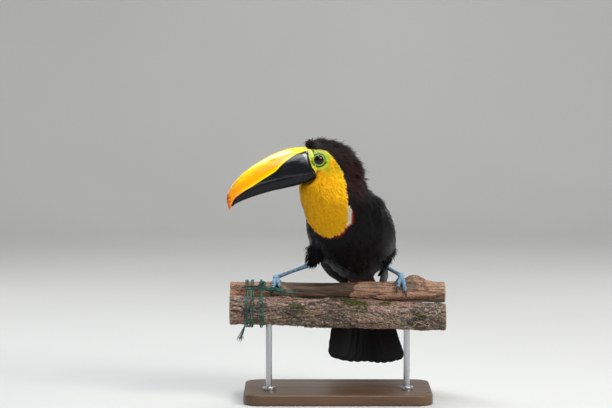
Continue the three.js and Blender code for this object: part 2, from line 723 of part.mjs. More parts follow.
function addSide(name) {
  const leg = LEGS[name];
  const neckClear = buildNeck(PLUMAGE_GAP);
  const shankClear = buildShank(leg, GAP);
  const wingCuts = [clear.trunk, clear.tail, neckClear, buildThigh(leg, PLUMAGE_GAP), shankClear];
  const thighCuts = [clear.trunk, clear.tail, shankClear];
  addNode(`wing_${name}`, without(buildWing(leg.side), ...wingCuts), FINISHES.blackPlumage);
  addNode(`thigh_${name}`, without(buildThigh(leg), ...thighCuts), FINISHES.blackPlumage);
  addNode(`tarsus_${name}`, buildShank(leg), FINISHES.blueSkin);
  const toes = Object.values(TOES);
  const footCuts = [clear.rear, clear.front, shankClear, ...toes.map((toe) => buildClaw(leg, toe, GAP))];
  const foot = joined([buildFootPad(leg), ...toes.map((toe) => buildToe(leg, toe))]);
  addNode(`foot_${name}`, without(foot, ...footCuts), FINISHES.blueSkin);
  for (const [number, toe] of Object.entries(TOES)) {
    addNode(`claw_${name}_${number}`, without(buildClaw(leg, toe), clear.rear, clear.front), FINISHES.claw);
  }
}

function addPerch() {
  addNode("perch_rear", buildBranch(REAR_BRANCH), FINISHES.bark);
  addNode("perch_front", without(buildBranch(FRONT_BRANCH), clear.rear), FINISHES.mossyBark);
  const twine = joined([...TURNS.map(lashingTurn), ...lashingTies()]);
  addNode("perch_lashing", without(twine, clear.rear, clear.front), FINISHES.twine);
}

function addStand() {
  addNode("stand_base", buildBase(), FINISHES.standWood);
  addNode("stand_rod_left", without(buildRod(-ROD.x), clear.front), FINISHES.standSteel);
  addNode("stand_rod_right", without(buildRod(ROD.x), clear.front), FINISHES.standSteel);
}

addBody();
addSide("left");
addSide("right");
addPerch();
addStand();

export default group;
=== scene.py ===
"""Looks of a life-size Choco toucan on two lashed branches and a plain display stand.

One skin carries the whole bird, and solid feathers lie over it in tufts and vanes. Lengths in this file are
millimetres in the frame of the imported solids, and every mesh is written in metres: +Z is up, the bird faces
-Y and its bill points toward -X.
"""
import math

import bpy
import numpy as np
from bpy.props import FloatProperty, FloatVectorProperty, IntProperty, PointerProperty
from bpy.types import Operator, Panel, PropertyGroup
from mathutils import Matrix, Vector, noise
from mathutils.bvhtree import BVHTree


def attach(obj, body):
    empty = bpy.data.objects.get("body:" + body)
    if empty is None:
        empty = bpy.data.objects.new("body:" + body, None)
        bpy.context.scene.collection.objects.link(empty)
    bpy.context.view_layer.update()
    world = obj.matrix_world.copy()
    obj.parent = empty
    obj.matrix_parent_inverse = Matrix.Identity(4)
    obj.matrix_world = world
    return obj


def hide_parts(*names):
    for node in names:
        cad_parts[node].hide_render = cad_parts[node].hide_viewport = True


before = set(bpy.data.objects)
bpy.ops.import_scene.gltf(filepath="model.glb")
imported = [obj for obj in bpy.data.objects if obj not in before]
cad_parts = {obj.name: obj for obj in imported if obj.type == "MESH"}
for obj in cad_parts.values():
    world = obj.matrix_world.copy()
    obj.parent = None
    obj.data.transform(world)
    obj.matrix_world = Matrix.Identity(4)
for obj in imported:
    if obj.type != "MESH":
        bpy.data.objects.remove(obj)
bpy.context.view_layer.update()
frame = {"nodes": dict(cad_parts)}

bl_info = {
    "name": "Choco toucan on a perch",
    "version": (1, 0, 0),
    "blender": (4, 5, 0),
    "location": "3D View > Sidebar > Toucan",
    "description": "Skin, feathers, bill, eyes, feet, perch and stand of a life-size toucan",
    "category": "Object",
}

MM = 0.001

# Driving sizes, the same as on the solids
PERCH_TOP = 150.0
BODY_YAW, BODY_PITCH = 17.0, 51.0
HEAD_YAW, HEAD_PITCH = 70.0, 12.0
TRUNK_CENTRE = (17.0, 1.2, PERCH_TOP + 60.0)
BILL_BASE = (-35.6, -60.5, PERCH_TOP + 155.8)
EYE_PLACE = (-6.1, 17.0, 3.8)
TAIL_ROOT, TAIL_SWING, TAIL_DROOP = -58.0, 7.5, 7.0


# ---- number helpers

def ease(low, high, value):
    """0 up to the low value and 1 past the high one, smooth between them. Low may be the larger."""
    share = np.clip((value - low) / (high - low), 0, 1)
    return share * share * (3 - 2 * share)


def lerp(a, b, share):
    return a + (b - a) * share


def mix(a, b, share):
    """From one colour or vector to another, by a share for each point."""
    return lerp(np.asarray(a), np.asarray(b), column(share))


def hump(value, middle, reach):
    """1 at the middle, falling away smoothly on both sides."""
    return np.exp(-(((value - middle) / reach) ** 2))


def unit(vectors):
    return vectors / np.maximum(np.linalg.norm(vectors, axis=-1, keepdims=True), 1e-9)


def column(values):
    return np.asarray(values)[..., None]


def spin(first, second, turn, reach):
    """Out by a reach, turned from the first way toward the second."""
    return first * column(np.cos(turn) * reach) + second * column(np.sin(turn) * reach)


def noise_at(points, scale=1.0):
    return np.array([noise.noise(Vector(point) * scale) for point in points])


def grain(*ways):
    return noise_at(np.stack(ways, 1))


def stations(rows):
    """Smooth values between rows of [position, value, value ...]."""
    rows = np.array(rows, float)
    place, value = rows[:, 0], rows[:, 1:]
    last = len(rows) - 1
    before = np.maximum(np.arange(len(rows)) - 1, 0)
    after = np.minimum(np.arange(len(rows)) + 1, last)
    slope = (value[after] - value[before]) / column(place[after] - place[before])

    def at(position):
        inside = np.clip(position, place[0], place[-1])
        i = np.clip(np.searchsorted(place, inside, side="right") - 1, 0, last - 1)
        span = place[i + 1] - place[i]
        s = column((inside - place[i]) / span)
        span = column(span)
        cubic = 2 * s**3 - 3 * s**2
        slopes = (s**3 - 2 * s**2 + s) * slope[i] * span + (s**3 - s**2) * slope[i + 1] * span
        return (cubic + 1) * value[i] - cubic * value[i + 1] + slopes

    return at


def rounded_ends(t, start, end):
    """Travel along a sweep and the size of its section, with both ends rounded off."""
    travel, size = t.copy(), np.ones_like(t)
    near, far = t < start, 1 - t < end
    turn = t[near] / start * math.pi / 2
    travel[near], size[near] = start * (1 - np.cos(turn)), np.sin(turn)
    turn = (1 - t[far]) / end * math.pi / 2
    travel[far], size[far] = 1 - end * (1 - np.cos(turn)), np.sin(turn)
    return travel, size


def bird_frame(origin, yaw, pitch):
    """A frame whose rows point forward, to the bird's left and up."""
    turn, tilt = math.radians(yaw), math.radians(pitch)
    level = np.array([-math.sin(turn), -math.cos(turn), 0.0])
    forward = level * math.cos(tilt) + np.array([0, 0, math.sin(tilt)])
    left = np.cross([0, 0, 1], level)
    return np.array(origin, float), np.array([forward, left, np.cross(forward, left)])


def placed(at, forward, left, up):
    origin, axes = at
    forward, left, up = np.broadcast_arrays(forward, left, up)
    return origin + np.stack([forward, left, up], -1) @ axes


def local(at, points):
    origin, axes = at
    return (points - origin) @ axes.T


BODY = bird_frame(TRUNK_CENTRE, BODY_YAW, BODY_PITCH)
HEAD = bird_frame(BILL_BASE, HEAD_YAW, -HEAD_PITCH)
TAIL = bird_frame(placed(BODY, TAIL_ROOT, 0, 0), BODY_YAW - TAIL_SWING, BODY_PITCH + TAIL_DROOP)


# ---- mesh helpers

def choose(piece):
    bpy.ops.object.select_all(action="DESELECT")
    piece.select_set(True)
    bpy.context.view_layer.objects.active = piece


def points_of(piece):
    raw = np.empty(len(piece.data.vertices) * 3)
    piece.data.vertices.foreach_get("co", raw)
    return raw.reshape(-1, 3) / MM


def move_points(piece, points):
    piece.data.vertices.foreach_set("co", (np.asarray(points) * MM).ravel())
    piece.data.update()


def normals_of(piece):
    raw = np.empty(len(piece.data.vertices) * 3)
    piece.data.vertex_normals.foreach_get("vector", raw)
    return raw.reshape(-1, 3)


def triangles_of(piece):
    piece.data.calc_loop_triangles()
    corners = np.empty(len(piece.data.loop_triangles) * 3, int)
    piece.data.loop_triangles.foreach_get("vertices", corners)
    return corners.reshape(-1, 3)


def surface_of(*pieces):
    """A tree for finding the nearest place on, or a hit on, the outside of these pieces."""
    corners, faces, start = [], [], 0
    for piece in pieces:
        points = points_of(piece)
        corners.extend(map(tuple, points))
        faces.extend(map(tuple, triangles_of(piece) + start))
        start += len(points)
    return BVHTree.FromPolygons(corners, faces)


def note(piece, name, values, kind="FLOAT"):
    """Stores one value, vector or colour per vertex, for the finishes to read."""
    values = np.asarray(values, np.float32)
    layer = piece.data.attributes.new(name, kind, "POINT")
    if kind == "FLOAT_COLOR":
        values = np.concatenate([values, np.ones((len(values), 1), np.float32)], 1)
    field = {"FLOAT": "value", "FLOAT_VECTOR": "vector", "FLOAT_COLOR": "color"}[kind]
    layer.data.foreach_set(field, values.ravel())


def note_colour(piece, name, colour):
    note(piece, name, np.clip(colour, 0, 1), "FLOAT_COLOR")


def edit_whole(piece, *steps):
    """Runs steps in edit mode on all of a piece."""
    choose(piece)
    bpy.ops.object.mode_set(mode="EDIT")
    bpy.ops.mesh.select_all(action="SELECT")
    for step in steps:
        step()
    bpy.ops.object.mode_set(mode="OBJECT")


def edit_chosen(piece, kind, parts, chosen, step):
    """Runs one step in edit mode on the chosen faces or edges."""
    choose(piece)
    bpy.ops.object.mode_set(mode="EDIT")
    bpy.ops.mesh.select_mode(type=kind)
    bpy.ops.mesh.select_all(action="DESELECT")
    bpy.ops.object.mode_set(mode="OBJECT")
    getattr(piece.data, parts).foreach_set("select", chosen)
    bpy.ops.object.mode_set(mode="EDIT")
    step()
    bpy.ops.object.mode_set(mode="OBJECT")


def turned_out(piece):
    """Smooth, and with every face turned round when the piece was drawn inside out."""
    a, b, c = np.moveaxis(points_of(piece)[triangles_of(piece)], 1, 0)
    if (a * np.cross(b, c)).sum() <= 0:
        edit_whole(piece, bpy.ops.mesh.flip_normals)
    bpy.ops.object.shade_smooth()
    return piece


def apply_modifier(piece, kind, **settings):
    choose(piece)
    bpy.ops.object.modifier_add(type=kind)
    modifier = piece.modifiers[-1]
    for name, value in settings.items():
        setattr(modifier, name, value)
    bpy.ops.object.modifier_apply(modifier=modifier.name)


def join(name, pieces):
    choose(pieces[0])
    for piece in pieces:
        piece.select_set(True)
    bpy.ops.object.join()
    whole = bpy.context.object
    whole.name = name
    whole.data.name = name
    return whole


def shade_creased():
    bpy.ops.object.shade_smooth_by_angle(angle=math.radians(40))


def add_primitive(name, add, **settings):
    bpy.ops.object.select_all(action="DESELECT")
    add(**settings)
    piece = bpy.context.object
    piece.name = name
    return piece


def swept_ball(name, ring, around, along):
    """A ball whose rings are drawn out along a shape: both poles close it."""
    piece = add_primitive(name, bpy.ops.mesh.primitive_uv_sphere_add, segments=around, ring_count=along, radius=1)
    x, y, z = points_of(piece).T * MM
    move_points(piece, ring(np.arccos(np.clip(z, -1, 1)) / math.pi, np.arctan2(y, x)))
    return turned_out(piece)


def swept_ring(name, ring, around, along):
    """A closed hoop: turn and angle both run once round."""
    piece = add_primitive(name, bpy.ops.mesh.primitive_torus_add, major_segments=along, minor_segments=around,
                          major_radius=2, minor_radius=1)
    x, y, z = points_of(piece).T * MM
    move_points(piece, ring(np.arctan2(y, x), np.arctan2(z, np.hypot(x, y) - 2)))
    return turned_out(piece)


def quads(a, b, c, d):
    """Two triangles for each row of four corners."""
    a, b, c, d = (corner.ravel() for corner in (a, b, c, d))
    return np.concatenate([np.stack([a, b, c], 1), np.stack([a, c, d], 1)])


def repeated(faces, count, each):
    """The same faces for each of a count of shapes with so many points each."""
    return (faces[None] + (np.arange(count) * each)[:, None, None]).reshape(-1, 3)


def mesh_from_arrays(name, points, triangles, patch):
    """One joined mesh. The patch map gives each corner its place on the OFBake map, which is meant for baking."""
    mesh = bpy.data.meshes.new(name)
    mesh.vertices.add(len(points))
    mesh.vertices.foreach_set("co", (points * MM).ravel().astype(np.float32))
    mesh.loops.add(triangles.size)
    mesh.loops.foreach_set("vertex_index", triangles.ravel())
    mesh.polygons.add(len(triangles))
    mesh.polygons.foreach_set("loop_start", np.arange(0, triangles.size, 3))
    mesh.update(calc_edges=True)
    layer = mesh.uv_layers.new(name="OFBake")
    layer.uv.foreach_set("vector", patch[triangles.ravel()].ravel().astype(np.float32))
    piece = bpy.data.objects.new(name, mesh)
    bpy.context.collection.objects.link(piece)
    return piece


def finish_piece(piece, finish, slot, *nodes):
    piece.data.materials.clear()
    piece.data.materials.append(finish.material)
    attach(piece, "root")
    if nodes:
        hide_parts(*nodes)


# ---- finishes

class Finish:
    """A node-built material around one Principled shader."""

    def __init__(self, name, **values):
        self.material = bpy.data.materials.new(name)
        self.material.use_nodes = True
        self.tree = self.material.node_tree
        self.shader = self.tree.nodes["Principled BSDF"]
        for socket, value in values.items():
            self.shader.inputs[socket.replace("_", " ")].default_value = value

    def put(self, socket, value):
        """A socket takes a link, a number, a vector or a colour."""
        if isinstance(value, bpy.types.NodeSocket):
            self.tree.links.new(value, socket)
        else:
            socket.default_value = (*value[:3], 1.0) if socket.type == "RGBA" else value

    def node(self, kind, sockets=(), **settings):
        made = self.tree.nodes.new("ShaderNode" + kind)
        for name, value in settings.items():
            setattr(made, name, value)
        for name, value in dict(sockets).items():
            self.put(made.inputs[name], value)
        return made

    def attribute(self, name, output="Fac"):
        return self.node("Attribute", attribute_name=name).outputs[output]

    def mapped(self, vector, stretch, turn=(0, 0, 0)):
        turn = [math.radians(angle) for angle in turn]
        return self.node("Mapping", {"Scale": stretch, "Rotation": turn, "Vector": vector}).outputs["Vector"]

    def coordinates(self, stretch=(1, 1, 1), turn=(0, 0, 0)):
        """Object coordinates, stretched to the grain of a piece."""
        return self.mapped(self.node("TexCoord").outputs["Object"], stretch, turn)

    def noise(self, scale, detail=4.0, roughness=0.55, vector=None, distortion=0.0):
        return self.node("TexNoise", {
            "Scale": scale, "Detail": detail, "Roughness": roughness, "Distortion": distortion,
            "Vector": self.coordinates() if vector is None else vector}).outputs["Fac"]

    def warped(self, vector, scale, amount):
        """Coordinates pushed about by noise, so that cracks don't run straight."""
        push = self.node("TexNoise", {"Scale": scale, "Detail": 3.0, "Vector": vector}).outputs["Color"]
        sockets = {0: push, 1: (amount, amount, amount), 2: vector}
        return self.node("VectorMath", sockets, operation="MULTIPLY_ADD").outputs["Vector"]

    def cells(self, scale, vector=None, feature="F1", randomness=1.0):
        vector = self.coordinates() if vector is None else vector
        sockets = {"Scale": scale, "Randomness": randomness, "Vector": vector}
        return self.node("TexVoronoi", sockets, feature=feature).outputs["Distance"]

    def bands(self, scale, vector, distortion=0.0):
        sockets = {"Scale": scale, "Distortion": distortion, "Vector": vector}
        return self.node("TexWave", sockets, wave_type="BANDS", bands_direction="X").outputs["Fac"]

    def spread(self, value, low, high, to_low=0.0, to_high=1.0):
        return self.node("MapRange", {
            "From Min": low, "From Max": high, "To Min": to_low, "To Max": to_high, "Value": value,
        }).outputs["Result"]

    def mottle(self, scale, detail, low=0.0, high=1.0):
        return self.spread(self.noise(scale, detail), 0.3, 0.7, low, high)

    def sum(self, operation, first, second):
        return self.node("Math", {0: first, 1: second}, operation=operation).outputs["Value"]

    def times(self, first, second):
        return self.sum("MULTIPLY", first, second)

    def blend(self, share, first, second, kind="MIX"):
        sockets = {0: share, 6: first, 7: second}
        return self.node("Mix", sockets, data_type="RGBA", blend_type=kind).outputs[2]

    def shaded(self, colour, tone):
        return self.blend(1.0, colour, tone, "MULTIPLY")

    def layer(self, colour, over, value, low, high, most=1.0):
        """A second colour over the first, as far as a value runs from low to high."""
        return self.blend(self.spread(value, low, high, 0, most), colour, over)

    def shader_takes(self, name, source):
        self.put(self.shader.inputs[name], source)

    def colour(self, source):
        self.shader_takes("Base Color", source)

    def roughness(self, source):
        self.shader_takes("Roughness", source)

    def bump(self, height, distance, strength=1.0, under=None):
        sockets = {"Strength": strength, "Distance": distance * MM, "Height": height}
        if under is not None:
            sockets["Normal"] = under
        raised = self.node("Bump", sockets).outputs["Normal"]
        self.shader_takes("Normal", raised)
        return raised


def toned(colour, share):
    """A colour made darker or brighter."""
    return [c * share for c in colour]


def plumage_finish(name, roughness, glint, uneven_and_root_shade=0.18, barbs=150.0, slant=0.3, strength=0.5):
    """Feathers: their own markings, each a little apart from the next and darker toward its root as painted shade,
    with fine barbs slanting from the shaft.
    """
    finish = Finish(name, Roughness=roughness, Specular_IOR_Level=glint)
    across, along, apart = finish.node("SeparateXYZ", {"Vector": finish.attribute("vane", "Vector")}).outputs
    marks = finish.attribute("plumage", "Color")
    each = finish.spread(apart, 0, 1, 1 - uneven_and_root_shade, 1 + uneven_and_root_shade)
    # Darker toward each feather's root: painted shade where the feathers overlap.
    tone = finish.times(each, finish.spread(along, -0.5, 0.3, 1 - 0.6 * uneven_and_root_shade, 1.05))
    finish.colour(finish.shaded(marks, finish.times(tone, finish.mottle(260, 3, 0.88, 1.1))))
    slanted = finish.sum("SUBTRACT", along, finish.times(finish.sum("ABSOLUTE", across, 0), slant))
    lines = finish.sum("SINE", finish.times(slanted, barbs), 0)
    finish.bump(lines, 0.06, strength)
    return finish


def skin_finish():
    """Skin under the coat, darkened there as painted shade, with soft warts and creases where the face is bare."""
    finish = Finish("bird_skin", Roughness=0.6, Specular_IOR_Level=0.35)
    warts = finish.cells(1150)
    bare = finish.attribute("bare")
    # Skin under the feathers is darkened to 0.8 as painted shade.
    painted_shade_under_coat = finish.spread(bare, 0, 1, 0.8, 1.0)
    grain = finish.spread(warts, 0.05, 0.55, 1.12, 0.74)
    tone = finish.times(finish.times(painted_shade_under_coat, grain), finish.mottle(320, 4, 0.85, 1.12))
    finish.colour(finish.shaded(finish.attribute("plumage", "Color"), tone))
    finish.roughness(finish.spread(bare, 0, 1, 0.8, 0.42))
    finish.bump(finish.spread(warts, 0.0, 0.5, 1, 0), 0.35, 0.7)
    return finish


# ---- markings

# Up the neck: height over the perch, middle x and y.
NECK_LINE = np.array([(58, 4, -28), (82, 2, -33), (104, -1, -39), (124, -6.5, -45), (146, -6, -48), (168, -5, -50)])
# The bib by height over the perch: its heading, and half its spread round the neck in degrees.
BIB = np.array([
    (40, 38, -100), (62.8, 38, 0), (64, 38, 15), (66, 38.5, 30), (69, 39.5, 41), (72.6, 40.5, 49), (79, 42.5, 57.5),
    (86, 45, 63.5), (94.4, 50, 67), (107, 56.5, 73.5), (118, 62, 85), (128, 66, 95), (144, 70, 95), (151, 70, 87),
    (159, 70, 75), (166, 70, 61), (171, 70, 49), (173, 70, 33), (174.2, 70, 0), (190, 70, -100),
])


def round_neck(points):
    """Height over the perch, and place round the neck from the middle of the bib, in radians and millimetres."""
    height = points[:, 2] - PERCH_TOP
    middle = [np.interp(height, NECK_LINE[:, 0], NECK_LINE[:, k]) for k in (1, 2)]
    across, ahead = middle[0] - points[:, 0], middle[1] - points[:, 1]
    turn = np.arctan2(across, ahead) - np.radians(np.interp(height, BIB[:, 0], BIB[:, 1]))
    return height, (turn + math.pi) % (2 * math.pi) - math.pi, np.hypot(across, ahead)


def beyond_bib(points):
    """Distance outside the edge of the bib, less than nothing inside it."""
    height, turn, reach = round_neck(points)

    def spread(at):
        return np.radians(np.interp(at, BIB[:, 0], BIB[:, 2]))

    slope = (spread(height + 1) - spread(height - 1)) / 2 * reach
    return (np.abs(turn) - spread(height)) * reach / np.sqrt(1 + slope**2)


def round_eye(points):
    """Forward and up from the eye, on either side of the head."""
    forward, side, up = local(HEAD, points).T
    return forward - EYE_PLACE[0], up - EYE_PLACE[2], side


def from_face(points):
    forward, up, _ = round_eye(points)
    return np.hypot(forward + 2, up + 2)


def bare_face(points):
    """1 on the bare skin round the eye, 0 where feathers grow."""
    forward, up, side = round_eye(points)
    reach = np.hypot((forward - 0.5) / 12.5, (up + 1.0) / 12.8)
    return (1 - ease(0.9, 1.05, reach)) * (np.abs(side) > 6)


# Patches on the face: forward and up from the eye, reach, strength and colour. Most are the skin's own flushes; the
# dark olive one behind and below the eye is painted shade, and the three pale whitish-green ones above the eye are
# painted highlight.
FACE_PATCHES_AND_PAINTED_LIGHT = (
    (-18.0, -8.0, 4.5, 0.75, (0.80, 0.30, 0.004)),
    # Dark olive behind and below the eye: painted shade.
    (-20.5, -16.0, 5.5, 0.6, (0.24, 0.19, 0.004)),
    (-8.0, -15.0, 3.6, 0.7, (0.26, 0.48, 0.01)),
    (-9.5, 1.5, 2.6, 0.6, (0.22, 0.58, 0.09)),
    (-9.3, -5.5, 1.2, 0.6, (0.03, 0.12, 0.01)),
    # This and the next two, pale whitish green above the eye: painted highlight.
    (8.5, 10.0, 3.6, 0.8, (0.66, 0.80, 0.36)),
    (1.5, 10.8, 4.2, 0.8, (0.62, 0.80, 0.32)),
    (-4.8, 7.8, 2.6, 0.7, (0.60, 0.80, 0.36)),
    (3.9, -14.2, 1.5, 0.9, (0.80, 0.14, 0.02)),
    (0.8, -14.6, 1.2, 0.7, (0.80, 0.22, 0.02)),
)


def plumage_colour(points, colours):
    """The markings of skin and coat alike, with painted shade and painted highlight among them on the face and on the
    red.
    """
    black, crown, mantle, bib, lemon, edging, lime, cream, red = [
        np.array(getattr(colours, name))
        for name in ("black", "crown", "mantle", "bib", "lemon", "edging", "lime", "cream", "red")
    ]
    height, turn, _ = round_neck(points)
    beyond = beyond_bib(points)
    along, side, _ = local(BODY, points).T
    body = np.broadcast_to(black, points.shape)
    mantle_share = ease(62, 92, along) * ease(1.3, 2.0, np.abs(turn)) * (1 - ease(150, 165, height))
    body = mix(body, mantle, mantle_share)
    body = mix(body, crown, ease(150, 163, height))
    rear, _, above = local(TAIL, points).T
    vent = ease(2, -6, along + 62 + 0.25 * np.abs(side)) * ease(-0.5, -2.5, above)
    # The red under the tail is darkened to 0.4 of its colour as painted shade.
    body = mix(body, red * 0.4, vent)
    rump = ease(6, -2, rear) * ease(-1.5, 0.5, above)
    body = mix(body, cream, rump)

    flank = ease(0.35, 0.85, np.abs(turn)) * (height > 57)
    # The red band is darker toward the middle of the front, and darker still on the bird's right side, where turn is
    # above nothing; the darkening on that side is painted shade.
    shaded = np.where(turn > 0, turn, 0)
    far = ease(0.1, 0.6, shaded) * (1 - ease(0.95, 1.2, shaded))
    low = 1 - ease(94, 106, height)
    cream_width = 4.2 * flank * ease(76, 84, height) * (1 - ease(98, 108, height))
    red_width = cream_width + low * lerp(2.2, 1.9, flank) * (height > 57)
    red_with_painted_shade = mix(red * 0.32, red, ease(0.45, 0.95, np.abs(turn)) * (1 - 0.75 * far))
    body = mix(red_with_painted_shade, body, ease(-0.6, 0.6, beyond - red_width))
    body = mix(cream, body, ease(-0.5, 0.5, beyond - cream_width))

    throat = mix(bib, lemon, ease(100, 160, height) * ease(-16, -2, beyond) * 0.85)
    throat = mix(throat, lemon, ease(158, 168, height))
    forward, up, _ = round_eye(points)
    from_eye = np.hypot(forward, up)
    face = ease(15.5, 11.0, np.hypot(forward - 0.5, up + 0.5))
    throat = mix(throat, lime, face)
    # The face patches, among them painted shade and painted highlight.
    for place, rise, size, strength, face_tone in FACE_PATCHES_AND_PAINTED_LIGHT:
        near = np.exp(-((forward - place) ** 2 + (up - rise) ** 2) / size**2) * strength
        throat = mix(throat, face_tone, near)
    rim = np.maximum(ease(-2.6, -1.0, beyond) * (up > 0), ease(8.8, 9.9, forward) * (up < 12))
    throat = mix(throat, edging, rim * ease(-14.0, -12.0, up) * ease(-16, -12, forward))
    ring = hump(from_eye, 6.9, 0.8) * 0.85
    throat = mix(throat, (0.60, 0.84, 0.26), ring)
    below = ease(0.5, -3.5, up - 0.3 * forward)
    # A dark green crescent in the fold below the eye: painted shade of the fold.
    crease = np.exp(-(((from_eye - 8.6) / 0.7) ** 4)) * below
    throat = mix(throat, (0.012, 0.085, 0.006), crease * 0.95)
    return mix(throat, body, ease(-0.7, 0.7, beyond))


# ---- coat and skin

def coat_depth(points, deepest):
    """Thin on the face and toward the ankles, full on the body."""
    away = from_face(points)
    head = lerp(0.8, 3.0, ease(9, 30, away))
    body = lerp(head, deepest, ease(34, 80, away))
    ankle = ease(22, 42, points[:, 2] - PERCH_TOP)
    legs = 1 - ease(0, 12, local(BODY, points)[:, 2] + 47 - np.abs(local(BODY, points)[:, 1]) * 0.1)
    return np.where(points[:, 2] < PERCH_TOP + 45, lerp(body, np.minimum(body, 2.4), legs * (1 - ankle)), body)


# Down the folded wing: place on the body axis, out, lift, half height, half thickness and roll.
WING_REACH = (60.0, -82.0)
WING_HUG = 13.0
wing_section = stations([
    [-82, 21, 12, 12, 4, -38],
    [-60, 30, 14, 19, 6.5, -28],
    [-34, 41, 10, 27, 9, -16],
    [-4, 46.5, 5, 31, 10.5, -6],
    [20, 45.5, 4, 31, 10.5, 0],
    [40, 41, 5, 26, 9.5, 3],
    [60, 32, 7, 15, 7, 6],
])


def wing_point(side, along, angle, inset=0.0, size=1.0):
    """A place on the folded wing: angle 0 faces out, a quarter turn is its upper edge."""
    along, angle, size = np.broadcast_arrays(along, angle, size)
    out, lift, height, thickness, roll = np.moveaxis(wing_section(along), -1, 0)
    turn = np.radians(roll)
    up = np.sin(angle) * (height - inset) * size
    outward = np.cos(angle) * (thickness - inset) * size
    hug = WING_HUG * np.sin(angle) ** 2 * size
    across = out - hug + outward * np.cos(turn) + up * np.sin(turn)
    return placed(BODY, along, side * across, lift + up * np.cos(turn) - outward * np.sin(turn))


def build_wing_flesh(side):
    def ring(t, angle):
        travel, size = rounded_ends(t, 0.14, 0.2)
        return wing_point(side, lerp(WING_REACH[0] - 4, -62, travel), angle, 3.2, size)
    return swept_ball("wing_flesh", ring, 40, 48)


def build_rump_flesh():
    def ring(t, angle):
        travel, size = rounded_ends(t, 0.3, 0.3)
        width, depth = lerp(16, 11, travel) * size, lerp(6.5, 2.6, travel) * size
        return placed(TAIL, lerp(2, -46, travel), np.cos(angle) * width, np.sin(angle) * depth)
    return swept_ball("rump_flesh", ring, 32, 24)


FLESH = ("head", "neck", "trunk", "thigh_left", "thigh_right")
# How far the solids are drawn into each other, and the grain of the skin while it is thinned and at the end.
OVERLAP, COARSE, FINE = 0.5, 2.0, 1.35


def copy_of_nodes(name, nodes):
    copies = []
    for node in nodes:
        copy = frame["nodes"][node].copy()
        copy.data = copy.data.copy()
        copy.parent = None
        for key in list(copy.keys()):
            del copy[key]
        bpy.context.collection.objects.link(copy)
        copies.append(copy)
    whole = join(name, copies)
    edit_whole(whole, lambda: bpy.ops.mesh.remove_doubles(threshold=0.01 * MM))
    return whole


def eye_frame(side):
    """The middle of an eye, the way it looks, out of the head and a little forward, and forward and up across it."""
    centre = placed(HEAD, EYE_PLACE[0], EYE_PLACE[1] * side, EYE_PLACE[2])
    axis = HEAD[1][1] * side + HEAD[1][0] * 0.27 + HEAD[1][2] * 0.04
    axis = axis / np.linalg.norm(axis)
    ahead = unit(np.cross(HEAD[1][2], axis))
    return centre, axis, ahead, np.cross(axis, ahead)


def round_axis(offset, axis):
    """Height along an axis, and distance from it."""
    height = offset @ axis
    return height, np.linalg.norm(offset - column(height) * axis, axis=1)


def build_skin(settings):
    """One skin for the whole bird, inside the solids by the depth of the coat."""
    skin = copy_of_nodes("skin", FLESH)
    apply_modifier(skin, "DISPLACE", strength=OVERLAP * MM, mid_level=0.0)
    apply_modifier(skin, "REMESH", mode="VOXEL", voxel_size=COARSE * MM)
    apply_modifier(skin, "SMOOTH", factor=0.5, iterations=14)
    points = points_of(skin)
    depth = coat_depth(points, settings.depth / MM) + OVERLAP * 0.5
    move_points(skin, points - normals_of(skin) * column(depth))
    skin = join("skin", [skin, build_wing_flesh(1), build_wing_flesh(-1), build_rump_flesh()])
    apply_modifier(skin, "REMESH", mode="VOXEL", voxel_size=FINE * MM)
    apply_modifier(skin, "SMOOTH", factor=0.5, iterations=6)
    refine_face(skin)
    choose(skin)
    bpy.ops.object.shade_smooth()
    return skin


def refine_face(skin):
    """Finer faces round the eyes, then the socket, the fold below the eye and the grain of bare skin."""
    near = bare_face(points_of(skin)) > 0
    chosen = np.array([near[list(face.vertices)].all() for face in skin.data.polygons])
    edit_chosen(skin, "FACE", "polygons", chosen, lambda: bpy.ops.mesh.subdivide(number_cuts=2, smoothness=0.6))
    points, normals = points_of(skin), normals_of(skin)
    bare = bare_face(points)
    forward, up, side = round_eye(points)
    from_eye = np.hypot(forward, up)
    below = ease(0.5, -3.5, up - 0.3 * forward)
    relief = -0.9 * hump(from_eye, 8.6, 0.7) * below
    relief += 0.4 * hump(from_eye, 10.2, 1.1) * below
    relief -= 0.15 * hump(from_eye - 10.4 - 0.2 * up, 0, 0.6) * (1 - below)
    relief += 0.16 * (noise_at(points, 1.1) + 0.6 * noise_at(points, 2.3)) * bare
    points = points + normals * column(relief * bare)
    for way in (1, -1):
        centre, axis, _, _ = eye_frame(way)
        height, radius = round_axis(points - centre, axis)
        sunk = (radius < 7.1) & (height > 0)
        lowered = np.minimum(height, lerp(1.5, height, ease(6.1, 7.1, radius)))
        points = np.where(column(sunk), points + column(lowered - height) * axis, points)
    move_points(skin, points)


def build_lid(side):
    """The fleshy rim round an eye."""
    centre, axis, ahead, above = eye_frame(side)

    def ring(turn, angle):
        wrinkle = 1 + 0.06 * np.sin(turn * 23) + 0.05 * np.sin(turn * 37 + 1)
        radius = 6.65 + np.cos(angle) * 0.5 * wrinkle
        radius *= 1 - 0.03 * np.abs(np.sin(turn)) ** 2
        height = 3.1 + np.sin(angle) * 0.5 * wrinkle
        return centre + spin(ahead, above, turn, radius) + column(height) * axis
    return swept_ring("lid", ring, 14, 96)


def unwrap_skin(skin):
    """The patches of the coat are laid out on this map of the skin's own shape."""
    edit_whole(skin, bpy.ops.mesh.quads_convert_to_tris,
               lambda: bpy.ops.uv.smart_project(angle_limit=math.radians(72), island_margin=0.004))
    skin.data.uv_layers[0].name = "OFBake"


# ---- tufts

PATCH = 0.003
# How far a ray looks for the surface under a tuft, or for the wing over it.
PROBE = 26.0


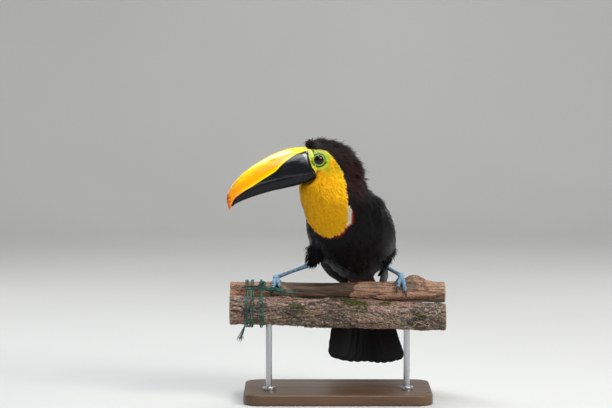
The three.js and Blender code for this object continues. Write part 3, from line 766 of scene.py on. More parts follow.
def tuft_shape(lobes, notch, shoulders):
    """A thin closed feather: across and along its outline, with the middle of its top and underside last."""
    right = [(0.16, 0.0)] + [(reach, place) for reach, place in shoulders]
    tips = []
    for i in range(lobes):
        across = lerp(0.78, -0.78, i / (lobes - 1)) if lobes > 1 else 0.0
        tips.append((across, 1 - 0.22 * across * across))
        if i < lobes - 1:
            between = lerp(0.78, -0.78, (i + 0.5) / (lobes - 1))
            tips.append((between, 1 - notch - 0.2 * between * between))
    outline = right + tips + [(-across, along) for across, along in reversed(right)]
    count = len(outline)
    place = np.array(outline + [(0.0, 0.5), (0.0, 0.5)])
    rise = np.array([0.0] * count + [1.0, -0.3])
    turn = [(i, (i + 1) % count) for i in range(count)]
    faces = [(count, b, a) for a, b in turn] + [(count + 1, a, b) for a, b in turn]
    return place, rise, np.array(faces)


HAIR = tuft_shape(3, 0.5, [(0.6, 0.45)])
PLUME = tuft_shape(4, 0.24, [(0.8, 0.4), (1.0, 0.7)])
VANE = tuft_shape(5, 0.07, [(0.75, 0.3), (1.0, 0.65)])


class Coat:
    """Gathers feathers of one piece and joins them into one mesh. Long feathers have their own cells of its map."""

    def __init__(self, cells=(1, 1)):
        self.parts, self.count, self.cells = [], 0, cells

    def add(self, points, faces, vane, patch, normals, roots):
        self.parts.append((points, faces + self.count, vane, patch, normals, roots))
        self.count += len(points)

    def build(self, name, colours, plain=None):
        """Tufts take the markings of the skin at their roots. Long feathers have one plain colour."""
        points, faces, vane, patch, normals, roots = [np.concatenate(part) for part in zip(*self.parts)]
        if plain is None:
            low, high = patch.min(0), patch.max(0)
            patch = (patch - low) / (high - low) * 0.96 + 0.02 + vane[:, :2] * PATCH / 2
        piece = mesh_from_arrays(name, points, faces, patch)
        marks = plumage_colour(roots, colours) if plain is None else np.tile(plain, (len(roots), 1))
        note(piece, "plumage", marks, "FLOAT_COLOR")
        note(piece, "vane", vane, "FLOAT_VECTOR")
        choose(piece)
        bpy.ops.object.shade_smooth()
        piece.data.normals_split_custom_set_from_vertices(unit(normals).tolist())
        return piece


def lay_tufts(coat, outside, roots, normals, lie, lengths, widths, depths, ruffle, shape, maps, rng):
    """Lays one tuft at each root, bent over the surface so that its tip reaches the depth of the coat."""
    place, rise, faces = shape
    count = len(roots)
    turn = rng.normal(0, 0.13, count)
    across = np.cross(normals, lie)
    lie = unit(spin(lie, across, turn, 1))
    across = np.cross(normals, lie)
    lengths = lengths * rng.uniform(0.86, 1.14, count)
    widths = widths * rng.uniform(0.85, 1.15, count)
    locks = noise_at(roots, 0.22)
    depths = depths * np.clip(1 + (0.45 + ruffle) * locks, 0.35, None)
    depths = depths * (1 + 0.4 * ruffle * (rng.uniform(0, 1, count) < 0.12))
    spine, tops = [roots - normals * 0.3], [normals]
    for share in (0.5, 1.0):
        aims = roots + lie * column(lengths * share)
        held, facing = np.empty((count, 3)), np.empty((count, 3))
        for i in range(count):
            hit = outside.ray_cast(Vector(aims[i] + normals[i] * (PROBE / 2)), Vector(-normals[i]), PROBE)
            if hit[0] is None:
                hit = outside.find_nearest(Vector(aims[i]))
            held[i], facing[i] = hit[0], hit[1]
        facing = unit(np.where(column((facing * normals).sum(1) < 0), normals, facing) + normals * 0.3)
        lift = depths * (0.62 if share < 1 else rng.uniform(0.75, 1.12 + 0.5 * ruffle, count))
        spine.append(held + facing * column(lift))
        tops.append(facing)
    x, y = place.T
    weights = np.stack([(1 - y) * (1 - 2 * y), 4 * y * (1 - y), y * (2 * y - 1)], 1)
    along = np.einsum("vk,knc->nvc", weights, np.array(spine))
    top = unit(np.einsum("vk,knc->nvc", np.stack([1 - y, np.zeros_like(y), y], 1), np.array(tops)))
    thick = 0.16 + 0.07 * widths
    camber = column(widths**2 / 90) * x**2
    tilt = column(rng.normal(0, 0.15, count)) * x
    offset = column(thick) * rise - camber + tilt * column(widths)
    points = along + across[:, None] * column(column(widths) * x) + top * column(offset)
    shading = top + across[:, None] * column(x * 0.5) + lie[:, None] * column((y - 0.45) * 0.45)
    vane = np.stack(np.broadcast_arrays(x, y - 0.5, column(rng.uniform(0, 1, count))), -1)
    each = len(x)
    coat.add(points.reshape(-1, 3), repeated(faces, count, each), vane.reshape(-1, 3), np.repeat(maps, each, 0),
             shading.reshape(-1, 3), np.repeat(roots + lie * column(lengths * 0.7), each, 0))


def lie_of_coat(points, normals, zone):
    """Feathers lie back from the bill, down the neck and along the body to the tail."""
    height, _, _ = round_neck(points)
    forward, side, up = local(HEAD, points).T
    down = np.array([0, 0, -1.0])
    cheek = ease(8, -12, up)
    head = -HEAD[1][0] + down * column(lerp(0.1, 1.1, cheek))
    rim = unit(np.stack([side, up], 1) + 1e-6)
    away = column(rim[:, 0]) * HEAD[1][1] + column(rim[:, 1]) * HEAD[1][2]
    head = head + away * column(ease(-9, 2, forward) * 1.6)
    crest = ease(-14, -8, forward) * ease(-1.5, -4, forward) * ease(17, 21, up)
    head = mix(head, HEAD[1][0] + HEAD[1][2] * 0.7, crest)
    trunk = np.broadcast_to(-BODY[1][0], points.shape)
    neck = down - BODY[1][0] * 0.3
    head_share, trunk_share = ease(112, 148, height), 1 - ease(66, 104, height)
    lie = mix(mix(neck, trunk, trunk_share), head, head_share)
    lie = np.where(column(zone == THIGH), unit(np.array([0.0, 0.35, -1.0])), lie)
    lie = np.where(column(zone == COVERT), -TAIL[1][0], lie)
    return unit(lie - normals * column((lie * normals).sum(1)))


NONE, CROWN, MANTLE, BIB_ZONE, BELLY, BACK, THIGH, COVERT = range(8)
# For each zone: gap between roots, length, half width, how ruffled and shape.
ZONES = {
    CROWN: (0.98, 9.5, 0.9, 1.25, HAIR),
    MANTLE: (1.3, 13.0, 1.5, 0.5, HAIR),
    BIB_ZONE: (0.98, 6.6, 1.2, 0.0, PLUME),
    BELLY: (1.5, 13.5, 2.3, 0.15, PLUME),
    BACK: (1.9, 14.0, 3.1, 0.1, VANE),
    THIGH: (1.2, 10.5, 1.2, 0.6, HAIR),
    COVERT: (1.9, 20.0, 2.8, 0.1, PLUME),
}


def zones_of(points, normals, wings, thighs, trunk):
    height, turn, _ = round_neck(points)
    beyond = beyond_bib(points)
    along, side, lift = local(BODY, points).T
    rear, _, _ = local(TAIL, points).T
    forward, across, up = local(HEAD, points).T
    zone = np.full(len(points), BELLY)
    zone[lift + 0.15 * np.abs(side) > 4] = BACK
    zone[(along > 62) | (height > 96)] = MANTLE
    zone[(along < 50) & (lift < 0)] = BELLY
    zone[height > 138] = CROWN
    zone[beyond < 9 * ease(122, 112, height) + 0.4] = BIB_ZONE
    zone[(rear < 6) & (along < -50)] = COVERT
    low = np.flatnonzero((height < 78) & (along > -62))
    for i in low:
        point = Vector(points[i])
        if thighs.find_nearest(point)[3] < trunk.find_nearest(point)[3] - 0.4:
            zone[i] = THIGH
    zone[bare_face(points) > 0.5] = NONE
    zone[(forward > -0.5) & (np.abs(across) < 15.5) & (up > -18) & (up < 17)] = NONE
    for i in np.flatnonzero((height < 125) & (zone != NONE) & (zone != THIGH)):
        if wings.ray_cast(Vector(points[i]), Vector(normals[i]), PROBE)[0] is not None:
            zone[i] = NONE
    return zone


def scatter_roots(skin, zone_at, closeness, rng):
    """Roots spread evenly over the skin, each at least its zone's gap from the others."""
    points, normals, corners = points_of(skin), normals_of(skin), triangles_of(skin)
    maps = np.empty(len(skin.data.loops) * 2)
    skin.data.uv_layers["OFBake"].uv.foreach_get("vector", maps)
    maps = maps.reshape(-1, 3, 2)
    edges = points[corners[:, 1:]] - points[corners[:, :1]]
    areas = np.linalg.norm(np.cross(edges[:, 0], edges[:, 1]), axis=1) / 2
    tightest = min(gap for gap, *_ in ZONES.values()) * closeness
    wanted = int(areas.sum() / tightest**2 * 1.7)
    face = rng.choice(len(corners), wanted, p=areas / areas.sum())
    shares = np.sort(rng.uniform(0, 1, (wanted, 2)), 1)
    shares = np.stack([shares[:, 0], shares[:, 1] - shares[:, 0], 1 - shares[:, 1]], 1)
    roots = np.einsum("nk,nkc->nc", shares, points[corners[face]])
    facing = unit(np.einsum("nk,nkc->nc", shares, normals[corners[face]]))
    maps = np.einsum("nk,nkc->nc", shares, maps[face])
    zone = zone_at(roots, facing)
    gaps = np.array([ZONES[one][0] if one else 1.0 for one in range(8)])[zone] * closeness
    gaps *= lerp(0.62, 1.0, ease(12, 26, from_face(roots)))
    keep = (zone != NONE) & (rng.uniform(0, 1, wanted) < (tightest / gaps) ** 2 * 1.6)
    roots, facing, maps, zone, gaps = [values[keep] for values in (roots, facing, maps, zone, gaps)]
    return keep_apart(roots, gaps, ZONES[BACK][0] * closeness), roots, facing, maps, zone


def keep_apart(roots, gaps, cell):
    """The roots left once any that crowd an earlier one are dropped."""
    kept, grid = [], {}
    places = roots.tolist()
    cells = np.floor(roots / cell).astype(int).tolist()
    steps = [(i, j, k) for i in (-1, 0, 1) for j in (-1, 0, 1) for k in (-1, 0, 1)]
    for index, (x, y, z) in enumerate(places):
        room = gaps[index] ** 2
        i, j, k = cells[index]
        crowded = any(
            (x - a) ** 2 + (y - b) ** 2 + (z - c) ** 2 < room
            for di, dj, dk in steps
            for a, b, c in grid.get((i + di, j + dj, k + dk), ())
        )
        if not crowded:
            kept.append(index)
            grid.setdefault((i, j, k), []).append((x, y, z))
    return np.array(kept)


# ---- wing and tail feathers

def add_vane(coat, spine, across, top, half, thickness, camber, columns=4):
    """A long feather with a raised shaft: a thin closed blade along its spine, with its own cell of the OFBake map.
    """
    used, size = len(coat.parts), 1 / np.array(coat.cells)
    cell = np.array([used % coat.cells[0], used // coat.cells[0]]) / coat.cells
    rows = len(spine)
    x = np.linspace(-1, 1, columns + 1)
    shaft = hump(x, 0, 0.16) * 0.35
    bend = camber * (1 - x**2)
    blade = thickness * 0.5 * (1 - x**4)
    flat = spine[:, None] + across[:, None] * column(column(half) * x)
    upper = flat + top[:, None] * column(blade + shaft + bend)
    lower = flat + top[:, None] * column(bend - blade - 0.04)
    wide = columns + 1
    points = np.concatenate([upper.reshape(-1, 3), lower.reshape(-1, 3)])
    index = np.arange(rows * wide).reshape(rows, wide)
    under = index + rows * wide

    def sheet(grid):
        return quads(grid[:-1, :-1], grid[:-1, 1:], grid[1:, 1:], grid[1:, :-1])

    def seam(first, second):
        return quads(first[:-1], first[1:], second[1:], second[:-1])

    faces = np.concatenate([
        sheet(index), sheet(under)[:, ::-1], seam(index[:, 0], under[:, 0]), seam(under[:, -1], index[:, -1]),
        seam(under[0], index[0]), seam(index[-1], under[-1])])
    vane = np.stack(np.broadcast_arrays(x, column(np.linspace(0, 1, rows)), cell[0]), -1).reshape(-1, 3)
    vane = np.concatenate([vane, vane])
    inset = np.repeat([0.86, 0.8], rows * wide)[:, None]
    patch = cell + size / 2 + (vane[:, :2] * (0.5, 1.0) - (0, 0.5)) * size * inset
    face_up = np.cross(across, np.gradient(spine, axis=0)).sum(0) @ top.sum(0) > 0
    bulge = top[:, None] + across[:, None] * column(x * 0.3)
    normals = np.concatenate([bulge.reshape(-1, 3), -bulge.reshape(-1, 3)])
    coat.add(points, faces if face_up else faces[:, ::-1], vane, patch, normals, points)


def ways_of_blade(spine, across, outward):
    """The ways across and out of a straight blade, at each place down its spine."""
    across = unit(np.broadcast_to(across, spine.shape))
    top = unit(np.cross(np.gradient(spine, axis=0), across))
    return across, top * np.sign(column(top @ outward))


def vane_width(rows, half, tip, rng, quill=0.35):
    """Half widths along a feather: from the quill to full breadth and round to its tip, slightly ragged."""
    along = np.linspace(0, 1, rows)
    width = half * lerp(quill, 1, ease(0, 0.3, along))
    width *= np.sqrt(np.clip(1 - (np.clip(along - 1 + tip, 0, None) / tip) ** 2, 0.004, 1))
    return width * (1 - 0.05 * rng.uniform(0, 1, rows))


def wing_size(along):
    """How far the wing tapers toward its shoulder and its tip."""
    travel = (WING_REACH[0] - along) / (WING_REACH[0] - WING_REACH[1])
    near = np.sqrt(np.clip(1 - ((0.14 - travel) / 0.14) ** 2, 0, 1))
    far = np.sqrt(np.clip(1 - ((travel - 0.8) / 0.2) ** 2, 0.0004, 1))
    return np.where(travel < 0.14, near, np.where(travel > 0.8, far, 1.0))


def add_wing_vane(coat, side, root, tip, half, heights, rng, rows=10, ending=0.35):
    """A feather on the folded wing between two places, each along the wing and round it in degrees."""
    share = np.linspace(0, 1, rows)
    along = lerp(root[0], tip[0], share)
    angle = np.radians(lerp(root[1], tip[1], share))
    rise = lerp(heights[0], heights[1], share)
    size = wing_size(along)
    spine = wing_point(side, along, angle, -rise, size)
    beside = wing_point(side, along, angle + 0.12, -rise, size) - wing_point(side, along, angle - 0.12, -rise, size)
    run = np.gradient(spine, axis=0)
    across = unit(beside - run * column((beside * run).sum(1) / (run * run).sum(1)))
    top = unit(np.cross(run, across))
    outward = spine - placed(BODY, along, side * 12.0, 6.0)
    top *= np.sign(column((top * outward).sum(1)))
    width = vane_width(rows, half, ending, rng)
    add_vane(coat, spine, across, top, width, 0.35, half**2 / 140, 6)


# Rows of coverts down the wing: place, how many, lowest and highest angle, length and half width.
COVERT_ROWS = [
    (57 - 4.6 * i, 7 + i, -66 - i, 70 + i, 12.5 + 0.3 * i, 3.6 + 0.14 * i) for i in range(9)
] + [(14, 12, -78, 76, 19, 5.2), (4, 12, -78, 76, 31, 6.4)]
SECONDARIES = 9
PRIMARIES, PRIMARY_ROWS = 8, 22


def build_wing(side, settings, rng):
    """Flight feathers first, then the coverts that overlap them like tiles."""
    feathers = PRIMARIES + SECONDARIES + sum(row[1] for row in COVERT_ROWS)
    coat = Coat((14, math.ceil(feathers / 14)))
    for i in range(PRIMARIES):
        share = i / (PRIMARIES - 1)
        root = [lerp(-24, -46, share), side * lerp(40, 29, share), lerp(-14, 18, share)]
        tip = [lerp(-80, -114, share), side * lerp(31, 13, share), lerp(2, 10, share)]
        along = np.linspace(0, 1, PRIMARY_ROWS)
        places = mix(root, tip, along)
        places[:, 1] += side * 3.0 * np.sin(along * math.pi)
        spine = placed(BODY, *places.T)
        across, top = ways_of_blade(spine, placed(BODY, 0.1, side * -0.6, 0.8) - BODY[0], BODY[1][1] * side)
        width = vane_width(PRIMARY_ROWS, 7.5, 0.3, rng)
        add_vane(coat, spine + top * (0.5 * i), across, top, width, 0.4, 0.5)
    for i in range(SECONDARIES):
        share = i / (SECONDARIES - 1)
        root = (-8 - 4 * share, lerp(-62, 58, share))
        tip = (lerp(-84, -60, share**2), lerp(-30, 62, share))
        heights = (-1.6 + 0.12 * i, -1.0 + 0.12 * i)
        add_wing_vane(coat, side, root, tip, lerp(7.5, 9.5, share), heights, rng, 26, 0.22)
    for along, count, low, high, length, half in reversed(COVERT_ROWS):
        for i in range(count):
            angle = lerp(low, high, (i + rng.uniform(-0.12, 0.12)) / (count - 1))
            start = along + rng.uniform(-0.8, 0.8) - 5 * (angle / 80) ** 2
            reach = length * rng.uniform(0.93, 1.06)
            add_wing_vane(coat, side, (start, angle), (start - reach, angle * 0.97), half, (-1.5, 0.15), rng, 9, 0.5)
    return coat.build("wing_feathers_" + SIDES[side], settings, np.array(settings.black))


TAIL_LENGTH, TAIL_PAIRS, TAIL_ROWS, TAIL_STEP, TAIL_TOP = 161.0, 5, 44, 1.7, 3.0


def build_tail(settings, rng):
    """Ten long feathers: each pair lies a step under the one nearer the middle."""
    coat = Coat((TAIL_PAIRS, 2))
    along = np.linspace(0, 1, TAIL_ROWS)
    for side in (-1, 1):
        for i in range(TAIL_PAIRS):
            outward = (i + 0.5) / TAIL_PAIRS
            under = TAIL_TOP - (i + (0.5 if side > 0 else 0)) * TAIL_STEP
            reach = lerp(-8, outward**2 * 12 - TAIL_LENGTH, along)
            beside = lerp(side * outward * 13, side * outward * 44, along)
            spine = placed(TAIL, reach, beside, under + 0.8 * np.sin(along * 9 + i))
            across, top = ways_of_blade(spine, placed(TAIL, 0, 1, side * -0.06) - TAIL[0], TAIL[1][2])
            width = vane_width(TAIL_ROWS, 14.6, 0.13, rng, 0.5)
            add_vane(coat, spine, across, top, width, 0.45, 0.9, 8)
    return coat.build("tail_feathers", settings, np.array(settings.black))


# ---- bill and eyes

# Down the bill: ridge, cutting edge and keel, each forward and up from its base, and half its width.
BILL = [
    [-5, 18.8, -5, -13.3, -5, -19.7, 14.6],
    [8, 22.9, 8, -11.8, 8, -21.6, 16.2],
    [26, 24.6, 24, -10, 24, -23.1, 15],
    [46, 22.2, 42, -8.8, 42, -23, 13.2],
    [67, 16.8, 60, -8.9, 59, -22.7, 11.2],
    [86, 9.6, 76, -10, 75, -23.2, 9.2],
    [101, 0.6, 90, -12.8, 88, -24.2, 7.3],
    [111.5, -9, 101, -16.6, 99, -25.7, 5.6],
    [116.5, -20, 109.5, -21.8, 107, -27.6, 4],
    [116.2, -34.4, 116.2, -34.4, 112.6, -30.6, 1.6],
]
bill_section = stations([[i / (len(BILL) - 1)] + row for i, row in enumerate(BILL)])
LOWER_REACH = 0.94
# Where yellow meets black on the upper bill, forward and up from its base.
bill_divide = stations([
    [-6, 19.5], [3, 18], [21, 16.3], [33.4, 12], [42.2, 7.5], [49.8, 2.7], [57.2, -0.4], [70.1, -4.9],
    [83.3, -10], [92.1, -12.8], [104, -19], [120, -40],
])


def bill_root(up):
    """How far forward the horn starts: behind it is a strip of bare skin."""
    return np.interp(up, [-20, -13.3, -7.9, -3.8, 5, 10, 14, 19, 24], [0.9, 0.3, 1.0, 3.8, 4.2, 4.1, 3.2, 2.4, 0.8])


def build_half_bill(name, upper, settings, plumage):
    def ring(t, angle):
        travel, size = rounded_ends(t, 0.04, 0.05)
        here = bill_section(travel)
        if upper:
            edge, rim, fullness, narrower = here[:, 2:4], here[:, 0:2], 0.7, 1.0
        else:
            edge, rim = bill_section(travel * LOWER_REACH)[:, 2:4] - (0, 0.45), here[:, 4:6]
            fullness, narrower = 0.75, 0.94
        swell = np.clip(np.sin(angle), 0, None)
        reach = np.linalg.norm(rim - edge, axis=1)
        teeth = np.abs((edge[:, 0] / 2.6) % 1 - 0.45) * 1.2 - 0.2 + 0.2 * np.sin(edge[:, 0] * 0.9)
        teeth = np.clip(teeth, 0, 1) * settings.teeth / MM * ease(30, 55, edge[:, 0])
        teeth *= (1 - ease(0, 0.22, swell)) * (1 - ease(108, 113, edge[:, 0]))
        point = edge + (rim - edge) * column(np.clip(swell**0.86 + teeth / np.maximum(reach, 0.1), 0, 1))
        point = mix(point, edge * 0.55 + rim * 0.45, 1 - size)
        half = here[:, 6] * narrower * size
        side = np.sign(np.cos(angle)) * np.abs(np.cos(angle)) ** fullness * half
        return placed(HEAD, point[:, 0], side, point[:, 1])

    bill = swept_ball(name, ring, 88, 300 if upper else 240)
    points, normals = points_of(bill), normals_of(bill)
    forward, side, up = local(HEAD, points).T
    relief = 0.22 * grain(forward * 0.055, side * 0.2, up * 0.3) + 0.08 * grain(forward * 0.2, side * 0.7, up)
    edge_up = np.interp(forward, [row[2] for row in BILL], [row[3] for row in BILL])
    relief *= ease(0.6, 3.0, np.abs(up - edge_up))
    behind = bill_root(up) - forward
    cheek = ease(6, 11, np.abs(side)) * ease(-14, -8, up)
    base_rim = 0.4 * hump(behind, -0.9, 0.8) - 0.3 * hump(behind, -3.2, 0.9)
    base_rim += ease(0.3, 3.0, behind) * 2.6 * cheek - 0.4 * ease(-0.2, 0.3, behind)
    move_points(bill, points + normals * column(relief + base_rim - 0.05))
    shade_creased()

    yellow, gold, orange, tip = [np.array(getattr(settings, one)) for one in ("yellow", "gold", "orange", "tip")]
    ridge = np.interp(forward, [row[0] for row in BILL], [row[1] for row in BILL])
    streak = grain(forward * 0.03, up * 0.5, side * 0.2)
    fine = grain(forward * 0.11, up * 1.4, side * 0.5)
    below_ridge = (ridge - up) / 26
    divide = bill_divide(forward)[:, 0]
    slope = bill_divide(forward + 1)[:, 0] - divide
    past = (up - divide) / np.sqrt(1 + slope**2) + 0.12 * fine + 0.12 * streak
    warm = ease(0.06, 0.34, below_ridge + 0.12 * streak) * ease(0.5, 4.5, past)
    colour = mix(yellow, gold, warm)
    colour = mix(colour, orange, ease(0.1, 0.9, ease(82, 116, forward) + 0.4 * streak) * 0.8)
    red = ease(0.5, 1.1, ease(102, 119, forward) + 0.5 * streak)
    red = np.maximum(red, hump(up, edge_up, 1.2) * ease(70, 84, forward) * (0.75 + fine))
    colour = mix(colour, tip, np.clip(red * 0.85, 0, 1))
    if not upper:
        past = np.full_like(past, -5.0)
    note_colour(bill, "shade", colour)
    note(bill, "divide", past)
    note_colour(bill, "plumage", plumage_colour(points_of(bill), plumage))
    note(bill, "behind", behind)
    polish = ease(-0.05, 0.45, normals_of(bill)[:, 2]) * (behind < 0)
    note(bill, "polish", polish**1.5 * lerp(0.7, 0.8, ease(-0.3, 0.3, past)))
    return bill


def bill_finish(name, settings):
    """Horn: smooth and glossy, with faint growth lines along it and small scuffs."""
    finish = Finish(name, Roughness=settings.roughness, Specular_IOR_Level=0.2, Coat_Roughness=0.2, Coat_IOR=2.0)
    along = finish.coordinates((1, 1, 1), (0, HEAD_PITCH, HEAD_YAW - 90))
    lines = finish.noise(520, 5, 0.6, finish.mapped(along, (0.12, 1, 1)))
    tone = finish.spread(lines, 0.25, 0.75, 0.88, 1.08)
    horn = finish.shaded(finish.attribute("shade", "Color"), tone)
    slate = finish.layer(tuple(settings.black), toned(settings.black, 2.2), lines, 0.3, 0.7)
    colour = finish.layer(slate, horn, finish.attribute("divide"), -0.3, 0.3)
    strip = finish.spread(finish.attribute("behind"), -0.15, 0.15)
    finish.colour(finish.blend(strip, colour, finish.attribute("plumage", "Color")))
    finish.shader_takes("Coat Weight", finish.attribute("polish"))
    polish = finish.mottle(60, 4, settings.roughness - 0.04, settings.roughness + 0.1)
    finish.roughness(finish.sum("MAXIMUM", polish, finish.times(strip, 0.5)))
    scuffs = finish.bump(finish.noise(900, 3), 0.05, 0.3)
    finish.bump(lines, 0.16, 0.45, scuffs)
    return finish


def build_eye(side):
    centre, axis, ahead, above = eye_frame(side)

    def ring(t, angle):
        depth = np.where(t < 0.5, 5.8, 6.6)
        radius = np.sin(t * math.pi) * 7.4
        return centre + spin(ahead, above, angle, radius) + column(np.cos(t * math.pi) * depth) * axis

    eye = swept_ball("eye_ball_" + SIDES[side], ring, 64, 64)
    offset = points_of(eye) - centre
    _, radius = round_axis(offset, axis)
    iris = ease(3.7, 4.0, radius) * (1 - ease(6.4, 6.8, radius))
    around = np.arctan2(offset @ above, offset @ ahead)
    threads = 1 + 0.4 * np.sin(around * 41) * np.sin(around * 17 + radius)
    note_colour(eye, "shade", mix((0.002, 0.002, 0.002), (0.010, 0.005, 0.002), iris * threads))
    return eye


def eye_finish():
    finish = Finish("eye", Roughness=0.03, Specular_IOR_Level=0.35)
    finish.colour(finish.attribute("shade", "Color"))
    return finish


# ---- limbs, toes and claws

def read_off(rows, places, at):
    """Rows of x, y and z read between their places."""
    return np.stack([np.interp(at, places, rows[:, k]) for k in range(3)], 1)


def even_path(points, count):
    """Even places along a smooth curve through points, and the way it runs at each."""
    points = np.array(points, float)
    curve = stations(np.column_stack([np.linspace(0, 1, len(points)), points]))
    fine = curve(np.linspace(0, 1, 50 * len(points)))
    reach = np.concatenate([[0], np.cumsum(np.linalg.norm(np.diff(fine, axis=0), axis=1))])
    even = read_off(fine, reach, np.linspace(0, reach[-1], count))
    return even, unit(np.gradient(even, axis=0)), reach[-1]


def limb(name, points, radii, outward, around, along, end=0.08, relief=None, flatten=1.0):
    """A rod of changing thickness: angle a quarter turn faces outward. Relief adds to its radius in millimetres."""
    even, run, length = even_path(points, along + 1)
    facing = np.array([outward(point) for point in even])
    side = unit(np.cross(run, facing))
    top = np.cross(side, run)
    radius_at = stations(np.column_stack([np.linspace(0, 1, len(radii)), radii]))
    share = np.linspace(0, 1, along + 1)

    def ring(t, angle):
        travel, size = rounded_ends(t, end, end)
        radius = radius_at(travel)[:, 0]
        if relief is not None:
            radius = radius + relief(travel * length, travel, angle)
        radius = radius * size
        centre, aside, out = [read_off(rows, share, travel) for rows in (even, side, top)]
        return centre + aside * column(np.cos(angle) * radius * flatten) + out * column(np.sin(angle) * radius)

    return swept_ball(name, ring, around, along)


BRANCH_HALF = 138.0
REAR_RADIUS, FRONT_RADIUS = 13.0, 18.0
REAR_AXIS = ((0.0, 0.0), (-13.0, -13.0))
FRONT_AXIS = ((-26.5, -18.0), (-33.0, -43.5))
SIDES = {-1: "right", 1: "left"}
# For each toe: where it starts over the perch and how far it turns, in degrees, and how far it splays.
TOES = {1: (74, -58, -8), 2: (96, 58, -5), 3: (96, 76, 5), 4: (74, -74, 8)}
TOE_RADII = [3.3, 2.7, 3.0, 2.4, 2.5]
FEET = {-1: (-79.0, (-40, 5, 20)), 1: (81.5, (61, 32, 17))}


def axis_point(axis, x):
    share = (np.asarray(x, float) + BRANCH_HALF) / (2 * BRANCH_HALF)
    return np.stack([np.asarray(x, float), lerp(*axis[0], share), PERCH_TOP + lerp(*axis[1], share)], -1)


def out_of_branch(x, angle):
    return np.stack([np.zeros_like(x), np.cos(angle), np.sin(angle)], 1)


def off_branch(axis, x, angle, reach):
    return axis_point(axis, x) + out_of_branch(x, angle) * column(reach)


def rear_radius(x, angle):
    knot = hump(x, 98, 15) * np.clip(np.sin(angle), 0, None) ** 2
    waves = 0.5 * np.sin(x / 17) * np.sin(angle + x / 60) + 0.3 * np.sin(3 * angle + x / 23)
    return REAR_RADIUS + waves + 9 * knot


def front_radius(x, angle):
    furrows = 0.7 * np.sin(5 * angle + 1.4 * np.sin(x / 19))
    cracks = 0.3 * np.sin(x / 9.5 + 3 * np.sin(angle))
    return FRONT_RADIUS + furrows + cracks + 0.5 * np.sin(x / 31 + 1) + 0.4 * np.sin(2 * angle + x / 40)


def over_perch(x, degrees, lift):
    angle = math.radians(degrees)
    reach = rear_radius(x, angle) + lift
    return axis_point(REAR_AXIS, x) + np.array([0, math.cos(angle), math.sin(angle)]) * reach


def from_perch(point):
    """Straight out from the middle of the rear branch."""
    away = point - axis_point(REAR_AXIS, point[0])
    return away / np.linalg.norm(away)


def scutes(pitch, height, pads=()):
    """Overlapping plates across the top of a toe or shank, small scales at the sides and pads below."""
    def relief(reach, travel, angle):
        top = ease(0.1, 0.75, np.sin(angle))
        plate = (reach / pitch) % 1
        edge = height * (ease(0, 0.22, plate) - 0.55 * ease(0.6, 1.0, plate) - 0.45)
        side = 0.5 * height * np.abs(np.sin(reach / pitch * 7 + 2 * np.sin(angle * 5))) * np.abs(np.cos(angle * 6))
        below = sum(0.75 * hump(travel, place, 0.09) for place in pads) if pads else 0
        beneath = ease(-0.1, -0.8, np.sin(angle))
        return top * edge + (1 - top) * side * 0.8 + beneath * (below - 0.2)
    return relief


def smoothed(piece, points, rounds=6):
    """Where each place would lie if the mesh were smoothed: what stands above it is raised."""
    ends = np.empty(len(piece.data.edges) * 2, int)
    piece.data.edges.foreach_get("vertices", ends)
    first, second = ends.reshape(-1, 2).T
    count = np.bincount(first, minlength=len(points)) + np.bincount(second, minlength=len(points))
    for _ in range(rounds):
        total = np.stack([np.bincount(first, points[second, k], len(points))
                          + np.bincount(second, points[first, k], len(points)) for k in range(3)], 1)
        points = total / column(count)
    return points


def shade_scales(piece, settings):
    """Paler plates with darker skin between them. Places that stand above their neighbours are made paler and grooves
    darker, partly as painted shade, and faces that look up are made paler as painted top light.
    """
    points, normals = points_of(piece), normals_of(piece)
    tones = noise_at(points, 0.35)
    cells = np.array([noise.cell(Vector(point) * 0.7) for point in points])
    pale, deep = np.array(settings.pale), np.array(settings.deep)
    raised = np.clip((points - smoothed(piece, points)) * normals, -0.3, 0.3).sum(1)
    # Raised places go paler and grooves darker, partly as painted shade; upward faces go paler as painted top light.
    share = np.clip(0.24 + 0.4 * tones + 0.12 * cells + 2.6 * raised + 0.3 * normals[:, 2], 0, 1)
    note_colour(piece, "shade", mix(deep, pale, share))


def build_foot(side):
    x, _ = FEET[side]
    pieces = []
    for start, turn, splay in TOES.values():
        places = [over_perch(x + side * splay * i / 4, start + turn * i / 4, 3.4) for i in range(5)]
        pads = (0.32, 0.62, 0.9)
        pieces.append(limb("toe", places, TOE_RADII, from_perch, 40, 170, relief=scutes(2.3, 0.42, pads)))
    places = [over_perch(x, degrees, lift) for degrees, lift in ((54, 4.4), (84, 4.8), (112, 4.4))]
    pieces.append(limb("pad", places, [3.2, 4.2, 3.4], from_perch, 40, 80, end=0.25, relief=scutes(2.2, 0.25)))
    return join("toes_" + SIDES[side], pieces)


def build_shank(side):
    x, (ankle_x, ankle_y, ankle_z) = FEET[side]
    foot, ankle = over_perch(x, 84, 5.5), np.array([ankle_x, ankle_y, PERCH_TOP + ankle_z], float)
    places = [lerp(ankle, foot, share) for share in (-0.1, 0.35, 0.7, 1.0)]
    return limb("shank_" + SIDES[side], places, [3.4, 2.4, 2.3, 2.9], lambda point: np.array([0, -0.8, 0.6]),
                40, 160, relief=scutes(3.0, 0.4))


def build_claw(side, toe):
    x, _ = FEET[side]
    start, turn, splay = TOES[toe]
    places = []
    for i, lift in enumerate((3.2, 4.4, 3.8, 1.1)):
        share = i / 3
        degrees = start + turn * 0.95 + math.copysign(34, turn) * share
        places.append(over_perch(x + side * splay * (0.95 + share * 0.3), degrees, lift))
    return limb(f"nail_{SIDES[side]}_{toe}", places, [1.8, 1.8, 1.25, 0.45], from_perch, 28, 56, end=0.12,
                relief=lambda reach, travel, angle: -0.22 * hump(angle, -math.pi / 2, 0.4),
                flatten=0.8)


